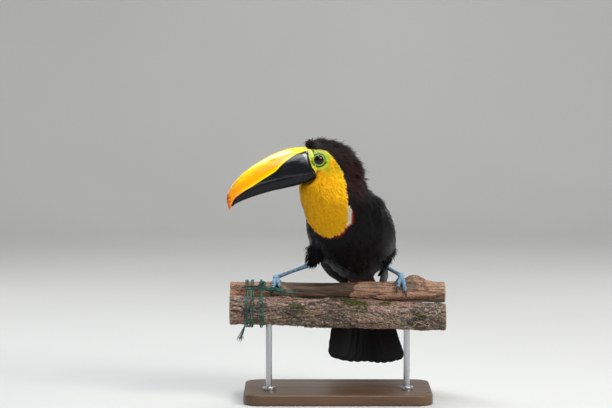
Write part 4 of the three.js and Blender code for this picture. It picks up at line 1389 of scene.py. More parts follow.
def leg_finish(settings):
    finish = Finish("scaled_skin", Roughness=settings.roughness, Specular_IOR_Level=0.4)
    cracks = finish.cells(620, None, "DISTANCE_TO_EDGE", 0.7)
    shut = finish.spread(cracks, 0.01, 0.12, 0.5, 1.0)
    finish.colour(finish.shaded(finish.attribute("shade", "Color"), shut))
    finish.bump(finish.spread(cracks, 0.0, 0.2), 0.1, 0.5)
    finish.roughness(finish.mottle(300, 3, settings.roughness - 0.1, settings.roughness + 0.1))
    return finish


def claw_finish(settings):
    finish = Finish("claw_horn", Roughness=0.3, Coat_Weight=0.2, Coat_Roughness=0.2)
    tone = finish.noise(90, 5, 0.6, finish.coordinates((1, 1, 4)))
    finish.colour(finish.layer(tuple(settings.claw), (0.10, 0.09, 0.08), tone, 0.35, 0.7))
    finish.bump(tone, 0.08, 0.4)
    return finish


# ---- perch, moss and twine

FACE_RINGS = 7


def build_branch(name, axis, radius_at, relief_at, around, along, worn_and_shadowed_at=None):
    def ring(t, angle):
        number = t * along
        from_end = np.minimum(number, along - number)
        share = np.clip((from_end - FACE_RINGS - 1) / (along / 2 - FACE_RINGS - 1), 0, 1) / 2
        share = np.where(from_end > FACE_RINGS + 0.5, 0.006 + share * 0.988, 0)
        travel = np.where(number < along / 2, share, 1 - share)
        size = np.where(from_end < FACE_RINGS + 0.5, from_end / FACE_RINGS * 0.955, 1)
        x = lerp(-BRANCH_HALF, BRANCH_HALF, travel)
        radius = radius_at(x, angle) + relief_at(x, angle) * (size == 1)
        return off_branch(axis, x, angle, radius * size)

    branch = swept_ball(name, ring, around, along)
    points = points_of(branch)
    away = points - axis_point(axis, points[:, 0])
    from_axis = np.linalg.norm(away, axis=1)
    cut = ease(BRANCH_HALF - 1.2, BRANCH_HALF - 0.2, np.abs(points[:, 0]))
    note(branch, "cut", cut)
    turn = np.arctan2(away[:, 2], away[:, 1])
    wobble = 1 + 0.05 * np.sin(turn * 2 + 1) + 0.03 * np.sin(turn * 5)
    note(branch, "rings", np.stack([from_axis * wobble, turn, points[:, 0]], 1) * MM, "FLOAT_VECTOR")
    # How worn each place is; the finish darkens the worn stretch of the rear branch, partly as painted shadow of the
    # bird.
    note(branch, "worn", worn_and_shadowed_at(points[:, 0], turn) if worn_and_shadowed_at else np.zeros(len(points)))
    return branch


def round_noise(x, angle, radius, stretch, scale, seed=0.0):
    """Noise wrapped round a branch, drawn out along it."""
    return noise_at(np.stack([x / stretch, np.cos(angle) * radius, np.sin(angle) * radius], 1) * scale + seed)


def rear_worn_and_shadowed(x, angle):
    """1 where the bark of the rear branch is gone: from the right foot to a slanting edge past the middle. The finish
    also darkens this stretch as painted shadow of the bird.
    """
    edge = 22 + 7 * np.sin(angle + 0.6) + 1.5 * np.sin(angle * 7)
    start = -64 + 9 * np.sin(angle * 2 + 1) + 2 * np.sin(angle * 9)
    return ease(start - 5, start + 5, x) * (1 - ease(edge - 1.5, edge + 0.5, x))


def rear_relief(x, angle):
    wrinkle = round_noise(x, angle, REAR_RADIUS, 5.0, 0.35)
    fine = round_noise(x, angle, REAR_RADIUS, 2.5, 1.1, 9.0)
    coarse = round_noise(x, angle, REAR_RADIUS, 1.4, 0.6, 2.0)
    worn = rear_worn_and_shadowed(x, angle)
    return 0.45 * wrinkle + 0.16 * fine + (1 - worn) * (0.75 * coarse + 0.1) - 0.75 * worn - 0.2


def front_relief(x, angle):
    plates = 1 - np.abs(round_noise(x, angle, FRONT_RADIUS, 2.6, 0.16)) * 3.0
    cracks = 1 - np.abs(round_noise(x, angle, FRONT_RADIUS, 1.6, 0.33, 5.0)) * 3.5
    fine = round_noise(x, angle, FRONT_RADIUS, 1.3, 0.9, 8.0)
    lumps = round_noise(x, angle, FRONT_RADIUS, 1.2, 0.07, 3.0)
    return 0.4 - 2.0 * np.clip(plates, 0, 1) ** 2 - 0.9 * np.clip(cracks, 0, 1) ** 2 + 0.6 * fine + 1.4 * lumps


def bark_finish(name, bark, dark, pale, wood, roughness, crumbs, lichen=None):
    """Long fibres, wandering splits and flecks; worn places have lost their bark and are made very dark, partly as
    painted shadow of the bird, and the ends show sawn wood.
    """
    finish = Finish(name, Roughness=roughness, Specular_IOR_Level=0.3)
    fibres = finish.noise(170, 6, 0.7, finish.coordinates((0.1, 1, 1)))
    colour = finish.layer(dark, bark, fibres, 0.38, 0.62)
    mottle = finish.noise(26, 6, 0.65, finish.coordinates((0.45, 1, 1)), 0.4)
    flakes = [min(1, c * more) for c, more in zip(bark, (2.1, 1.55, 1.4))]
    colour = finish.layer(colour, flakes, mottle, 0.46, 0.64, 0.6)
    colour = finish.layer(colour, dark, mottle, 0.47, 0.33, 0.75)
    grit = finish.noise(430, 5, 0.75, finish.coordinates((0.55, 1, 1)))
    colour = finish.layer(colour, pale, grit, 0.54, 0.64, crumbs)
    colour = finish.layer(colour, toned(dark, 0.5), grit, 0.46, 0.38, crumbs)
    long_way = finish.warped(finish.coordinates((0.11, 1, 1)), 60, 0.02)
    splits = finish.cells(95, long_way, "DISTANCE_TO_EDGE")
    colour = finish.blend(finish.spread(splits, 0.0, 0.07, 0.8, 0), colour, toned(dark, 0.3))
    # Bare wood where the bark is gone, made very dark: partly painted shadow of the bird over the middle of the rear
    # branch.
    worn = finish.layer(toned(bark, 0.14), toned(bark, 0.38), fibres, 0.42, 0.6)
    colour = finish.blend(finish.attribute("worn"), colour, worn)
    if lichen is not None:
        crust = finish.blend(finish.mottle(220, 3), lichen, toned(lichen, 0.55))
        colour = finish.layer(colour, crust, finish.noise(38, 6, 0.65, None, 0.8), 0.58, 0.64, 0.55)
    grown = finish.bands(190, finish.attribute("rings", "Vector"), 0.6)
    sawn = finish.layer(wood, toned(wood, 0.62), grown, 0.2, 0.9)
    finish.colour(finish.blend(finish.attribute("cut"), colour, sawn))
    fine = finish.bump(grit, 0.4 + 0.7 * crumbs, 0.7)
    cracked = finish.bump(finish.spread(splits, 0.0, 0.12), 0.7, 0.8, fine)
    finish.bump(fibres, 0.7, 0.7, cracked)
    return finish


def build_moss(settings, rng):
    """Cushions of moss on the front branch: small pointed leaves standing in clumps."""
    count = settings.moss
    x = rng.uniform(-132, 132, count * 4)
    angle = rng.normal(2.0, 0.9, count * 4)
    patch = round_noise(x, angle, FRONT_RADIUS, 1.6, 0.055, 21.0) + 0.12 * hump(x, -58, 28) + 0.10 * hump(x, 70, 34)
    clear = np.min([np.abs(x - FEET[side][0]) for side in SIDES], axis=0) > 15
    keep = np.flatnonzero((patch > 0.12 + 0.1 * rng.uniform(0, 1, len(x))) & clear & (x > -104))[:count]
    x, angle, patch = x[keep], angle[keep], patch[keep]
    roots = off_branch(FRONT_AXIS, x, angle, front_radius(x, angle) + front_relief(x, angle) - 0.4)
    lean = unit(out_of_branch(x, angle) + rng.normal(0, 0.55, roots.shape))
    aside = unit(np.cross(lean, rng.normal(0, 1, roots.shape)))
    beside = np.cross(lean, aside)
    length = column(rng.uniform(0.9, 2.4, len(x)) * (0.6 + 2.2 * np.clip(patch, 0, 0.4)))
    width = column(rng.uniform(0.18, 0.34, len(x)))
    foot, waist = roots - aside * width * 0.5, roots + lean * length * 0.55
    corners = [
        roots + aside * width, foot + beside * width * 0.85, foot - beside * width * 0.85,
        waist + aside * width * 1.3 + beside * width * 0.5, waist - aside * width * 1.2 + beside * width * 0.6,
        waist - beside * width * 1.4, roots + lean * length + aside * length * 0.25,
    ]
    faces = np.array([(0, 2, 1), (0, 1, 4), (0, 4, 3), (1, 2, 5), (1, 5, 4), (2, 0, 3), (2, 3, 5),
                      (3, 4, 6), (4, 5, 6), (5, 3, 6)])
    points = np.stack(corners, 1).reshape(-1, 3)
    maps = np.stack([(x + 140) / 280, (angle + 2) / 7.5], 1).clip(0.02, 0.98)
    maps = np.repeat(maps, 7, 0) + np.tile([(1, 0), (-1, 1), (-1, -1), (1, 1), (-1, 0.4), (0, -1), (0, 1.5)],
                                           (len(x), 1)) * PATCH / 2
    moss = turned_out(mesh_from_arrays("moss", points, repeated(faces, len(x), 7), maps))
    tone = np.repeat(rng.uniform(0.6, 1.25, len(x)), 7) * np.tile([0.6, 0.6, 0.6, 1, 1, 1, 1.25], len(x))
    green, olive = np.array(settings.moss_green), np.array((0.16, 0.15, 0.03))
    mixed = mix(green, olive, np.repeat(rng.uniform(0, 0.8, len(x)) ** 2, 7))
    note_colour(moss, "shade", mixed * column(tone))
    return moss


def build_rootlets(rng):
    """Thin dry roots that creep along the front branch."""
    roots = []
    for i in range(28):
        start, reach = rng.uniform(14, 112), rng.uniform(6, 20)
        x = np.minimum(start + np.linspace(0, reach, 9) + rng.normal(0, 0.9, 9), 131)
        angles = rng.uniform(2.7, 4.1) + np.cumsum(rng.normal(0, 0.1, 9))
        lift = 0.4 + 1.2 * np.abs(np.sin(np.linspace(0, math.pi * rng.uniform(1, 3), 9)))
        places = off_branch(FRONT_AXIS, x, angles, front_radius(x, angles) - 0.3 + lift)
        radii = np.linspace(rng.uniform(0.32, 0.55), 0.18, 5)
        middle = axis_point(FRONT_AXIS, x[4])
        roots.append(limb("rootlet", places, radii, lambda point: point - middle + 0.01, 8, 40))
    return join("rootlets", roots)


TURNS = (-116.0, -109.5, -97.0)
# Plies in each strand, how far they lie from its middle and the radius of one.
PLIES, PLY_REACH, PLY_RADIUS = 3, 0.34, 0.38


def turn_path(x):
    """The way of one turn drawn tight round both branches."""
    rear, front = axis_point(REAR_AXIS, x), axis_point(FRONT_AXIS, x)
    heading = math.atan2(rear[2] - front[2], rear[1] - front[1])
    places = []
    for centre, reach, start in ((rear, REAR_RADIUS + 2.9, heading - math.pi / 2),
                                 (front, FRONT_RADIUS + 3.4, heading + math.pi / 2)):
        for angle in start + np.linspace(0, math.pi, 9):
            places.append(centre + np.array([0, math.cos(angle), math.sin(angle)]) * reach)
    return np.array(places)


def add_strand(pieces, places, closed, spread, radius, twists, phase=0.0, detail=210):
    """Plies twisted round each other along a path."""
    even, run, length = even_path(np.concatenate([places, places[:1]]) if closed else places, detail)
    side = unit(np.cross(run, [1.0, 0.02, 0.03]))
    top = np.cross(side, run)
    share = np.linspace(0, 1, detail)
    for ply in range(PLIES):
        turn = share * twists * 2 * math.pi + ply * 2 * math.pi / PLIES + phase
        reach = spread * (1 if closed else np.sin(np.clip(share * 12, 0, math.pi / 2)))
        centre = even + side * column(np.cos(turn) * reach) + top * column(np.sin(turn) * reach)
        pieces.append(tube(centre, np.full(detail, radius), closed))


def tube(centre, radius, closed=False, around=6):
    """A thin tube along places: points and triangles, closed at both ends or joined into a hoop."""
    count = len(centre)
    run = unit(np.gradient(centre, axis=0))
    side = unit(np.cross(run, [0.31, 0.52, 0.8]))
    top = np.cross(side, run)
    angle = np.linspace(0, 2 * math.pi, around, endpoint=False)
    points = centre[:, None] + column(radius)[:, None] * (
        side[:, None] * column(np.cos(angle)) + top[:, None] * column(np.sin(angle)))
    points = points.reshape(-1, 3)
    index = np.arange(count * around).reshape(count, around)
    if closed:
        first, second = index[:-1], np.concatenate([index[1:-1], index[:1]])
        points = points[: (count - 1) * around]
    else:
        first, second = index[:-1], index[1:]
    faces = quads(first, np.roll(first, -1, 1), np.roll(second, -1, 1), second)
    if not closed:
        first, last, ends = index[0], index[-1], np.full((2, around), len(points)) + [[0], [1]]
        points = np.concatenate([points, centre[:1], centre[-1:]])
        caps = [np.stack([ends[0], np.roll(first, -1), first], 1), np.stack([ends[1], last, np.roll(last, -1)], 1)]
        faces = np.concatenate([faces, *caps])
    return points, faces


def tubes_to_piece(name, tubes):
    points = np.concatenate([places for places, _ in tubes])
    starts = np.cumsum([0] + [len(places) for places, _ in tubes])
    faces = np.concatenate([faces + start for (_, faces), start in zip(tubes, starts)])
    low, high = points.min(0), points.max(0)
    maps = ((points - low) / (high - low))[:, [1, 2]] * 0.96 + 0.02
    maps[:, 0] = maps[:, 0] * 0.5 + np.linspace(0, 0.5, len(points))
    return turned_out(mesh_from_arrays(name, points, faces, maps))


def build_lashing(rng):
    """Turns of twisted twine round both branches, strands along the crease, a knot and a frayed end."""
    tubes = []
    for x in TURNS:
        for offset, lift in ((-1.4, 0.0), (0.0, -0.35), (1.4, 0.05)):
            places = turn_path(x)
            away = places - (axis_point(REAR_AXIS, x) + axis_point(FRONT_AXIS, x)) / 2
            places = places + unit(away) * (lift - 0.4 + rng.uniform(-0.15, 0.15, (len(places), 1)))
            sway = rng.normal(0, 1.1, len(places))
            places[:, 0] += offset + (sway + np.roll(sway, 1) + np.roll(sway, -1)) / 2
            add_strand(tubes, places, True, PLY_REACH, PLY_RADIUS, 62, rng.uniform(0, 6))

    def crease(x, lift, forward):
        return np.array([x, -21 - forward, PERCH_TOP - 5 + lift], float)

    upper = [crease(-121, 0, -1), crease(-104, 0, 0), crease(-86, -1, 1), crease(-72, -3, 0)]
    lower = [crease(-98, -2, 0), crease(-80, -5, 2), crease(-66, -6, 1), crease(-52, -6, -1)]
    for places in (upper, lower):
        for offset in ((0, -0.5, 0.9), (-3, 0.5, -0.3), (4, -0.2, -1.2)):
            wander = np.array(places) + offset + rng.normal(0, 1, (4, 3)) * (1.5, 0.35, 0.8)
            add_strand(tubes, wander, False, PLY_REACH, PLY_RADIUS, 20, rng.uniform(0, 6), 120)
    middle = crease(-97, 4.6, -3)
    for i in range(7):
        tilt, swing = rng.uniform(-1.1, 1.1), rng.uniform(-0.9, 0.9)
        angle = np.linspace(0, 2 * math.pi, 12, endpoint=False)
        loop = np.stack([np.full(12, (i - 3) * 0.85), np.cos(angle) * 2.9, np.sin(angle) * 2.6], 1)
        loop[:, 0] += tilt * loop[:, 1] + swing * loop[:, 2]
        add_strand(tubes, middle + loop, True, 0.3, 0.36, 7, rng.uniform(0, 6), 90)
    front = axis_point(FRONT_AXIS, TURNS[0])
    hang = np.array([[x, front[1] - forward, front[2] - drop] for x, forward, drop in
                     ((-115, 20.6, 2), (-117, 21.5, 14), (-121, 19, 26), (-125, 17, 36))])
    add_strand(tubes, hang[:3], False, 0.6, 0.5, 5, 0, 90)
    for i in range(34):
        spray = rng.normal(0, 1, 3) * (2.4, 1.3, 1.6)
        start = lerp(hang[1], hang[2], rng.uniform(0.1, 0.95)) + rng.normal(0, 0.5, 3)
        end = hang[3] + spray
        places = np.array([start, lerp(start, end, 0.5) + rng.normal(0, 0.6, 3), end])
        even, _, _ = even_path(places, 16)
        tubes.append(tube(even, np.linspace(0.2, 0.12, 16), False, 5))
    return tubes_to_piece("twine", tubes)


def twine_finish(settings):
    finish = Finish("teal_twine", Roughness=0.42, Specular_IOR_Level=0.5)
    worn = finish.noise(140, 5)
    colour = finish.layer(tuple(settings.twine), toned(settings.twine, 0.16), worn, 0.4, 0.6)
    finish.colour(finish.layer(colour, (0.07, 0.065, 0.05), finish.noise(36, 3), 0.5, 0.75, 0.6))
    finish.bump(finish.noise(1500, 2), 0.08, 0.5)
    return finish


# ---- stand

BASE_SIZE = (240.0, 150.0, 14.0)
BASE_CORNER, BASE_EDGE = 22.0, 2.5
ROD_X, ROD_RADIUS = 88.0, 4.0
COLLAR_RADIUS, COLLAR_HEIGHT = 8.5, 4.0


def bevel_edges(piece, wanted, width, segments):
    points = points_of(piece)
    chosen = [bool(wanted(*points[list(edge.vertices)])) for edge in piece.data.edges]
    edit_chosen(piece, "EDGE", "edges", chosen, lambda: bpy.ops.mesh.bevel(offset=width * MM, segments=segments))


def build_base():
    base = add_primitive("display_base", bpy.ops.mesh.primitive_cube_add, size=1)
    move_points(base, points_of(base) * MM * BASE_SIZE + (0, 0, BASE_SIZE[2] / 2))
    bevel_edges(base, lambda a, b: abs(a[2] - b[2]) > 1, BASE_CORNER, 14)
    bevel_edges(base, lambda a, b: abs(a[2] - b[2]) < 0.01, BASE_EDGE, 5)
    shade_creased()
    return base


def build_rod(side):
    """A steel rod from the base to the underside of the front branch, with a low collar at its foot."""
    x = ROD_X * side
    front = axis_point(FRONT_AXIS, x)
    top = front[2] - FRONT_RADIUS + 2.0
    bottom = BASE_SIZE[2] + 0.3

    def cylinder(radius, height, middle):
        made = add_primitive("rod", bpy.ops.mesh.primitive_cylinder_add, vertices=64, radius=radius * MM,
                             depth=height * MM)
        move_points(made, points_of(made) + (x, front[1], middle))
        return made

    rod = cylinder(ROD_RADIUS, top - bottom, (top + bottom) / 2)
    collar = cylinder(COLLAR_RADIUS, COLLAR_HEIGHT, bottom + COLLAR_HEIGHT / 2)
    rim = bottom + COLLAR_HEIGHT - 0.1
    bevel_edges(collar, lambda a, b: a[2] > rim and b[2] > rim, 1.0, 4)
    rod = join("display_rod_" + SIDES[side], [rod, collar])
    shade_creased()
    return rod


def wood_finish(settings):
    finish = Finish("oiled_walnut", Roughness=0.42, Coat_Weight=0.08, Coat_Roughness=0.3)
    grain = finish.noise(90, 6, 0.6, finish.coordinates((0.06, 1, 1)), 0.4)
    figure = finish.noise(14, 3, 0.5, finish.coordinates((0.12, 1, 1)), 0.8)
    wood = tuple(settings.wood)
    colour = finish.layer(toned(wood, 0.5), wood, grain, 0.3, 0.7)
    finish.colour(finish.layer(colour, toned(wood, 1.5), figure, 0.35, 0.7, 0.5))
    finish.roughness(finish.spread(grain, 0.3, 0.7, 0.5, 0.34))
    finish.bump(grain, 0.06, 0.35)
    return finish


def steel_finish():
    finish = Finish("brushed_steel", Base_Color=(0.55, 0.56, 0.58, 1), Metallic=1.0, Roughness=0.32)
    brushed = finish.noise(700, 3, 0.6, finish.coordinates((1, 1, 0.04)))
    finish.roughness(finish.spread(brushed, 0.3, 0.7, 0.24, 0.42))
    finish.bump(brushed, 0.02, 0.4)
    return finish


# ---- stage

CAMERA_DISTANCE, CAMERA_HEIGHT, FRAME_WIDTH = 3200.0, 4.0, 777.24
LOOK_AT = (-40.64, -28.0, 252.2)


def add_light(name, place, target, size, power, tint=(1, 1, 1)):
    bpy.ops.object.light_add(type="AREA", location=Vector(place) * MM)
    light = bpy.context.object
    light.name = name
    light.data.shape = "RECTANGLE"
    light.data.size, light.data.size_y = size[0] * MM, size[1] * MM
    light.data.energy = power
    light.data.color = tint
    light.rotation_euler = (Vector(target) - Vector(place)).to_track_quat("-Z", "Y").to_euler()


def build_backdrop(settings):
    """A pale floor that sweeps up into the wall behind."""
    def ring_point(share):
        floor, bend = 2.6, 0.9
        if share < 0.5:
            return (lerp(-4.2, floor, share / 0.5), 0.0)
        if share < 0.8:
            turn = (share - 0.5) / 0.3 * math.pi / 2
            return floor + bend * math.sin(turn), bend * (1 - math.cos(turn))
        return floor + bend, lerp(bend, 5.0, (share - 0.8) / 0.2)

    backdrop = add_primitive("backdrop", bpy.ops.mesh.primitive_grid_add, x_subdivisions=1, y_subdivisions=60, size=2)
    places = points_of(backdrop) * MM
    drawn = [(x * 6.0, *ring_point((y + 1) / 2)) for x, y, _ in places]
    move_points(backdrop, np.array(drawn) / MM)
    bpy.ops.object.shade_smooth()
    finish = Finish("backdrop_paint", Roughness=0.9, Specular_IOR_Level=0.2)
    pale = tuple(settings.backdrop)
    finish.colour(finish.blend(finish.mottle(1.2, 2), pale, toned(pale, 0.94)))
    backdrop.data.materials.append(finish.material)


def build_camera():
    tilt = math.radians(CAMERA_HEIGHT)
    back = Vector((0, -math.cos(tilt), math.sin(tilt)))
    place = (Vector(LOOK_AT) + back * CAMERA_DISTANCE) * MM
    bpy.ops.object.camera_add(location=place)
    camera = bpy.context.object
    camera.rotation_euler = (math.radians(90 - CAMERA_HEIGHT), 0, 0)
    camera.data.sensor_width = 36.0
    camera.data.lens = 36.0 * CAMERA_DISTANCE / FRAME_WIDTH
    camera.data.clip_end = 50.0
    bpy.context.scene.camera = camera


# ---- settings

def tint(name, value, text):
    return FloatVectorProperty(name=name, subtype="COLOR", size=3, min=0, max=1, default=value, description=text)


def length(name, value, text):
    return FloatProperty(name=name, unit="LENGTH", default=value * MM, min=0, precision=5, description=text)


def share(name, value, text, most=1.0):
    return FloatProperty(name=name, default=value, min=0, max=most, description=text)


def power(name, value, text):
    return FloatProperty(name=name, default=value, min=0, description="Power in watts of " + text)


class ToucanPlumage(PropertyGroup):
    depth: length("Coat depth", 4.6, "Depth of the coat on the body, from the skin to the feather tips")
    closeness: FloatProperty(name="Spacing", default=1.0, min=0.6, max=3, description="Gap between tufts, 1 is usual")
    seed: IntProperty(name="Seed", default=11, description="Starts the scatter of the feathers")
    black: tint("Black", (0.0036, 0.0032, 0.0034), "Wings, back, belly and tail")
    crown: tint("Crown", (0.0150, 0.0085, 0.0052), "Top and back of the head")
    mantle: tint("Mantle", (0.0240, 0.0052, 0.0036), "Nape and upper back")
    bib: tint("Bib", (0.95, 0.46, 0.0), "Throat and breast")
    lemon: tint("Cheek", (0.98, 0.66, 0.0), "Upper breast and cheeks")
    edging: tint("Face edge", (0.90, 0.84, 0.008), "Bright line round the face")
    lime: tint("Face", (0.64, 0.73, 0.025), "Bare skin round the eye")
    cream: tint("Cream", (0.84, 0.78, 0.58), "Line beside the bib, and the rump")
    red: tint("Red", (0.46, 0.022, 0.010), "Band under the bib, and under the tail")


class ToucanBill(PropertyGroup):
    roughness: share("Roughness", 0.15, "Roughness of the horn")
    teeth: length("Notches", 0.7, "Depth of the notches along the cutting edge")
    yellow: tint("Yellow", (0.97, 0.72, 0.0), "Ridge of the upper bill, and its border with the black")
    gold: tint("Gold", (0.97, 0.43, 0.0), "Side of the upper bill")
    orange: tint("Orange", (0.93, 0.27, 0.01), "Front of the upper bill")
    tip: tint("Tip", (0.60, 0.07, 0.008), "Tip and notches")
    black: tint("Black", (0.0045, 0.0050, 0.0065), "Base and lower bill")


class ToucanFeet(PropertyGroup):
    roughness: share("Roughness", 0.45, "Roughness of the scaled skin")
    pale: tint("Pale", (0.30, 0.50, 0.66), "Raised parts of the scales")
    deep: tint("Deep", (0.012, 0.036, 0.080), "Skin between the scales")
    claw: tint("Claw", (0.016, 0.015, 0.015), "Claws")


class ToucanPerch(PropertyGroup):
    moss: IntProperty(name="Moss leaves", default=4400, min=0, max=15000, description="Leaves of moss on the bark")
    seed: IntProperty(name="Seed", default=5, description="Starts the scatter of moss, rootlets and twine")
    bark: tint("Smooth bark", (0.36, 0.225, 0.145), "Rear branch")
    rough_bark: tint("Rough bark", (0.26, 0.185, 0.145), "Front branch")
    flecks: tint("Flecks", (0.60, 0.51, 0.45), "Weathered flecks in the bark")
    wood: tint("Wood", (0.52, 0.38, 0.22), "Sawn ends")
    lichen: tint("Lichen", (0.38, 0.42, 0.28), "Crusts on the front branch")
    moss_green: tint("Moss", (0.085, 0.105, 0.018), "Moss leaves")
    twine: tint("Twine", (0.003, 0.16, 0.125), "Lashing")


class ToucanStand(PropertyGroup):
    wood: tint("Wood", (0.115, 0.060, 0.030), "Base plate")


class ToucanStage(PropertyGroup):
    backdrop: tint("Backdrop", (0.66, 0.66, 0.645), "Floor and wall")
    key: power("Key light", 36.0, "the main softbox")
    front: power("Front light", 8.0, "the soft light in front")
    fill: power("Fill light", 2.0, "the light from the left")
    top: power("Top light", 22.0, "the softbox overhead")
    rim: power("Rim lights", 5.5, "each light from behind")
    wall: power("Wall light", 40.0, "the light on the wall")
    surround: share("Surround", 0.15, "Brightness of the surrounding air", 3.0)


class ToucanSettings(PropertyGroup):
    plumage: PointerProperty(type=ToucanPlumage, description="Skin and feathers")
    bill: PointerProperty(type=ToucanBill, description="Bill")
    feet: PointerProperty(type=ToucanFeet, description="Legs, toes and claws")
    perch: PointerProperty(type=ToucanPerch, description="Branches, moss and twine")
    stand: PointerProperty(type=ToucanStand, description="Display stand")
    stage: PointerProperty(type=ToucanStage, description="Backdrop, lights and camera")


# ---- operators

def need(name):
    piece = bpy.data.objects.get(name)
    if piece is None:
        raise RuntimeError("build " + name + " first")
    return piece


class TOUCAN_OT_skin(Operator):
    """Build the skin, lids and markings of the bird"""
    bl_idname = "toucan.skin"
    bl_label = "Skin"

    def execute(self, context):
        settings = context.scene.toucan.plumage
        skin = build_skin(settings)
        skin = join("skin", [skin, build_lid(1), build_lid(-1)])
        unwrap_skin(skin)
        points = points_of(skin)
        note(skin, "plumage", plumage_colour(points, settings), "FLOAT_COLOR")
        note(skin, "bare", bare_face(points))
        finish_piece(skin, skin_finish(), "bib_plumage", *FLESH)
        return {"FINISHED"}


# Pieces of the coat: zones, slot, roughness, glint and how far one feather's tone is from the next, which also sets
# how deep the painted shade at the feather roots is.
COAT_PIECES = {
    "coat_crown": ((CROWN, MANTLE), "crown_plumage", 0.46, 0.16, 0.6),
    "coat_bib": ((BIB_ZONE,), "bib_plumage", 0.65, 0.2, 0.1),
    "coat_belly": ((BELLY,), "black_plumage", 0.46, 0.13, 0.45),
    "coat_back": ((BACK,), "black_plumage", 0.4, 0.16, 0.45),
    "coat_thighs": ((THIGH,), "black_plumage", 0.5, 0.13, 0.45),
    "coat_rump": ((COVERT,), "black_plumage", 0.5, 0.18, 0.2),
}


class TOUCAN_OT_coat(Operator):
    """Lay the tufts of the coat over the skin"""
    bl_idname = "toucan.coat"
    bl_label = "Coat"

    def execute(self, context):
        settings = context.scene.toucan.plumage
        skin = need("skin")
        nodes = frame["nodes"]
        wings = surface_of(nodes["wing_left"], nodes["wing_right"])
        thighs, trunk = surface_of(nodes["thigh_left"], nodes["thigh_right"]), surface_of(nodes["trunk"])
        rng = np.random.default_rng(settings.seed)
        closeness = settings.closeness * 1.0
        kept, roots, facing, maps, zone = scatter_roots(
            skin, lambda points, normals: zones_of(points, normals, wings, thighs, trunk), closeness, rng)
        under, under_crown = surface_of(skin), surface_of(skin, nodes["bill_upper"])
        for name, (zones, slot, roughness, glint, uneven_and_root_shade) in COAT_PIECES.items():
            coat = Coat()
            for one in zones:
                _, reach, half, ruffle, shape = ZONES[one]
                chosen = kept[zone[kept] == one]
                if not len(chosen):
                    raise RuntimeError("no feathers grow for " + name)
                at, normals = roots[chosen], facing[chosen]
                small = lerp(0.42, 1.0, ease(11, 30, from_face(at)))
                over_eye = round_eye(at)[1] > 0
                small *= lerp(1.0, 0.42, ease(-9, -3, local(HEAD, at)[:, 0]) * over_eye)
                deep = coat_depth(at, settings.depth / MM)
                lie = lie_of_coat(at, normals, zone[chosen])
                outside = under_crown if one == CROWN else under
                lay_tufts(coat, outside, at, normals, lie, reach * small * closeness, half * small * closeness, deep,
                          ruffle, shape, maps[chosen], rng)
            piece = coat.build(name, settings)
            finish_piece(piece, plumage_finish(name, roughness, glint, uneven_and_root_shade), slot, *FLESH)
        return {"FINISHED"}


class TOUCAN_OT_wings(Operator):
    """Lay the coverts and flight feathers of both wings"""
    bl_idname = "toucan.wings"
    bl_label = "Wings"

    def execute(self, context):
        settings = context.scene.toucan.plumage
        finish = plumage_finish("wing_feathers", 0.34, 0.18, 0.4, 420, 0.12, 0.3)
        for side in (-1, 1):
            wing = build_wing(side, settings, np.random.default_rng(settings.seed + side))
            finish_piece(wing, finish, "black_plumage", "wing_" + SIDES[side])
        return {"FINISHED"}


class TOUCAN_OT_tail(Operator):
    """Lay the long feathers of the tail"""
    bl_idname = "toucan.tail"
    bl_label = "Tail"

    def execute(self, context):
        settings = context.scene.toucan.plumage
        tail = build_tail(settings, np.random.default_rng(settings.seed + 7))
        finish_piece(tail, plumage_finish("tail_feathers", 0.36, 0.18, 0.2, 1500, 0.06, 0.3), "black_plumage", "tail")
        return {"FINISHED"}


class TOUCAN_OT_bill(Operator):
    """Build both halves of the bill"""
    bl_idname = "toucan.bill"
    bl_label = "Bill"

    def execute(self, context):
        settings = context.scene.toucan.bill
        finish = bill_finish("bill_horn", settings)
        for name, upper, slot, node in (("upper_bill_horn", True, "bill_yellow", "bill_upper"),
                                        ("lower_bill_horn", False, "bill_black", "bill_lower")):
            finish_piece(build_half_bill(name, upper, settings, context.scene.toucan.plumage), finish, slot, node)
        return {"FINISHED"}


class TOUCAN_OT_eyes(Operator):
    """Build the eyes"""
    bl_idname = "toucan.eyes"
    bl_label = "Eyes"

    def execute(self, context):
        finish = eye_finish()
        for side, name in SIDES.items():
            finish_piece(build_eye(side), finish, "eye", "eye_" + name)
        return {"FINISHED"}


class TOUCAN_OT_feet(Operator):
    """Build the shanks, toes and claws"""
    bl_idname = "toucan.feet"
    bl_label = "Feet"

    def execute(self, context):
        settings = context.scene.toucan.feet
        scaled, horn = leg_finish(settings), claw_finish(settings)
        for side, name in SIDES.items():
            foot, shank = build_foot(side), build_shank(side)
            for piece, node in ((foot, "foot_"), (shank, "tarsus_")):
                shade_scales(piece, settings)
                finish_piece(piece, scaled, "leg_skin", node + name)
            for toe in TOES:
                finish_piece(build_claw(side, toe), horn, "claw", f"claw_{name}_{toe}")
        return {"FINISHED"}


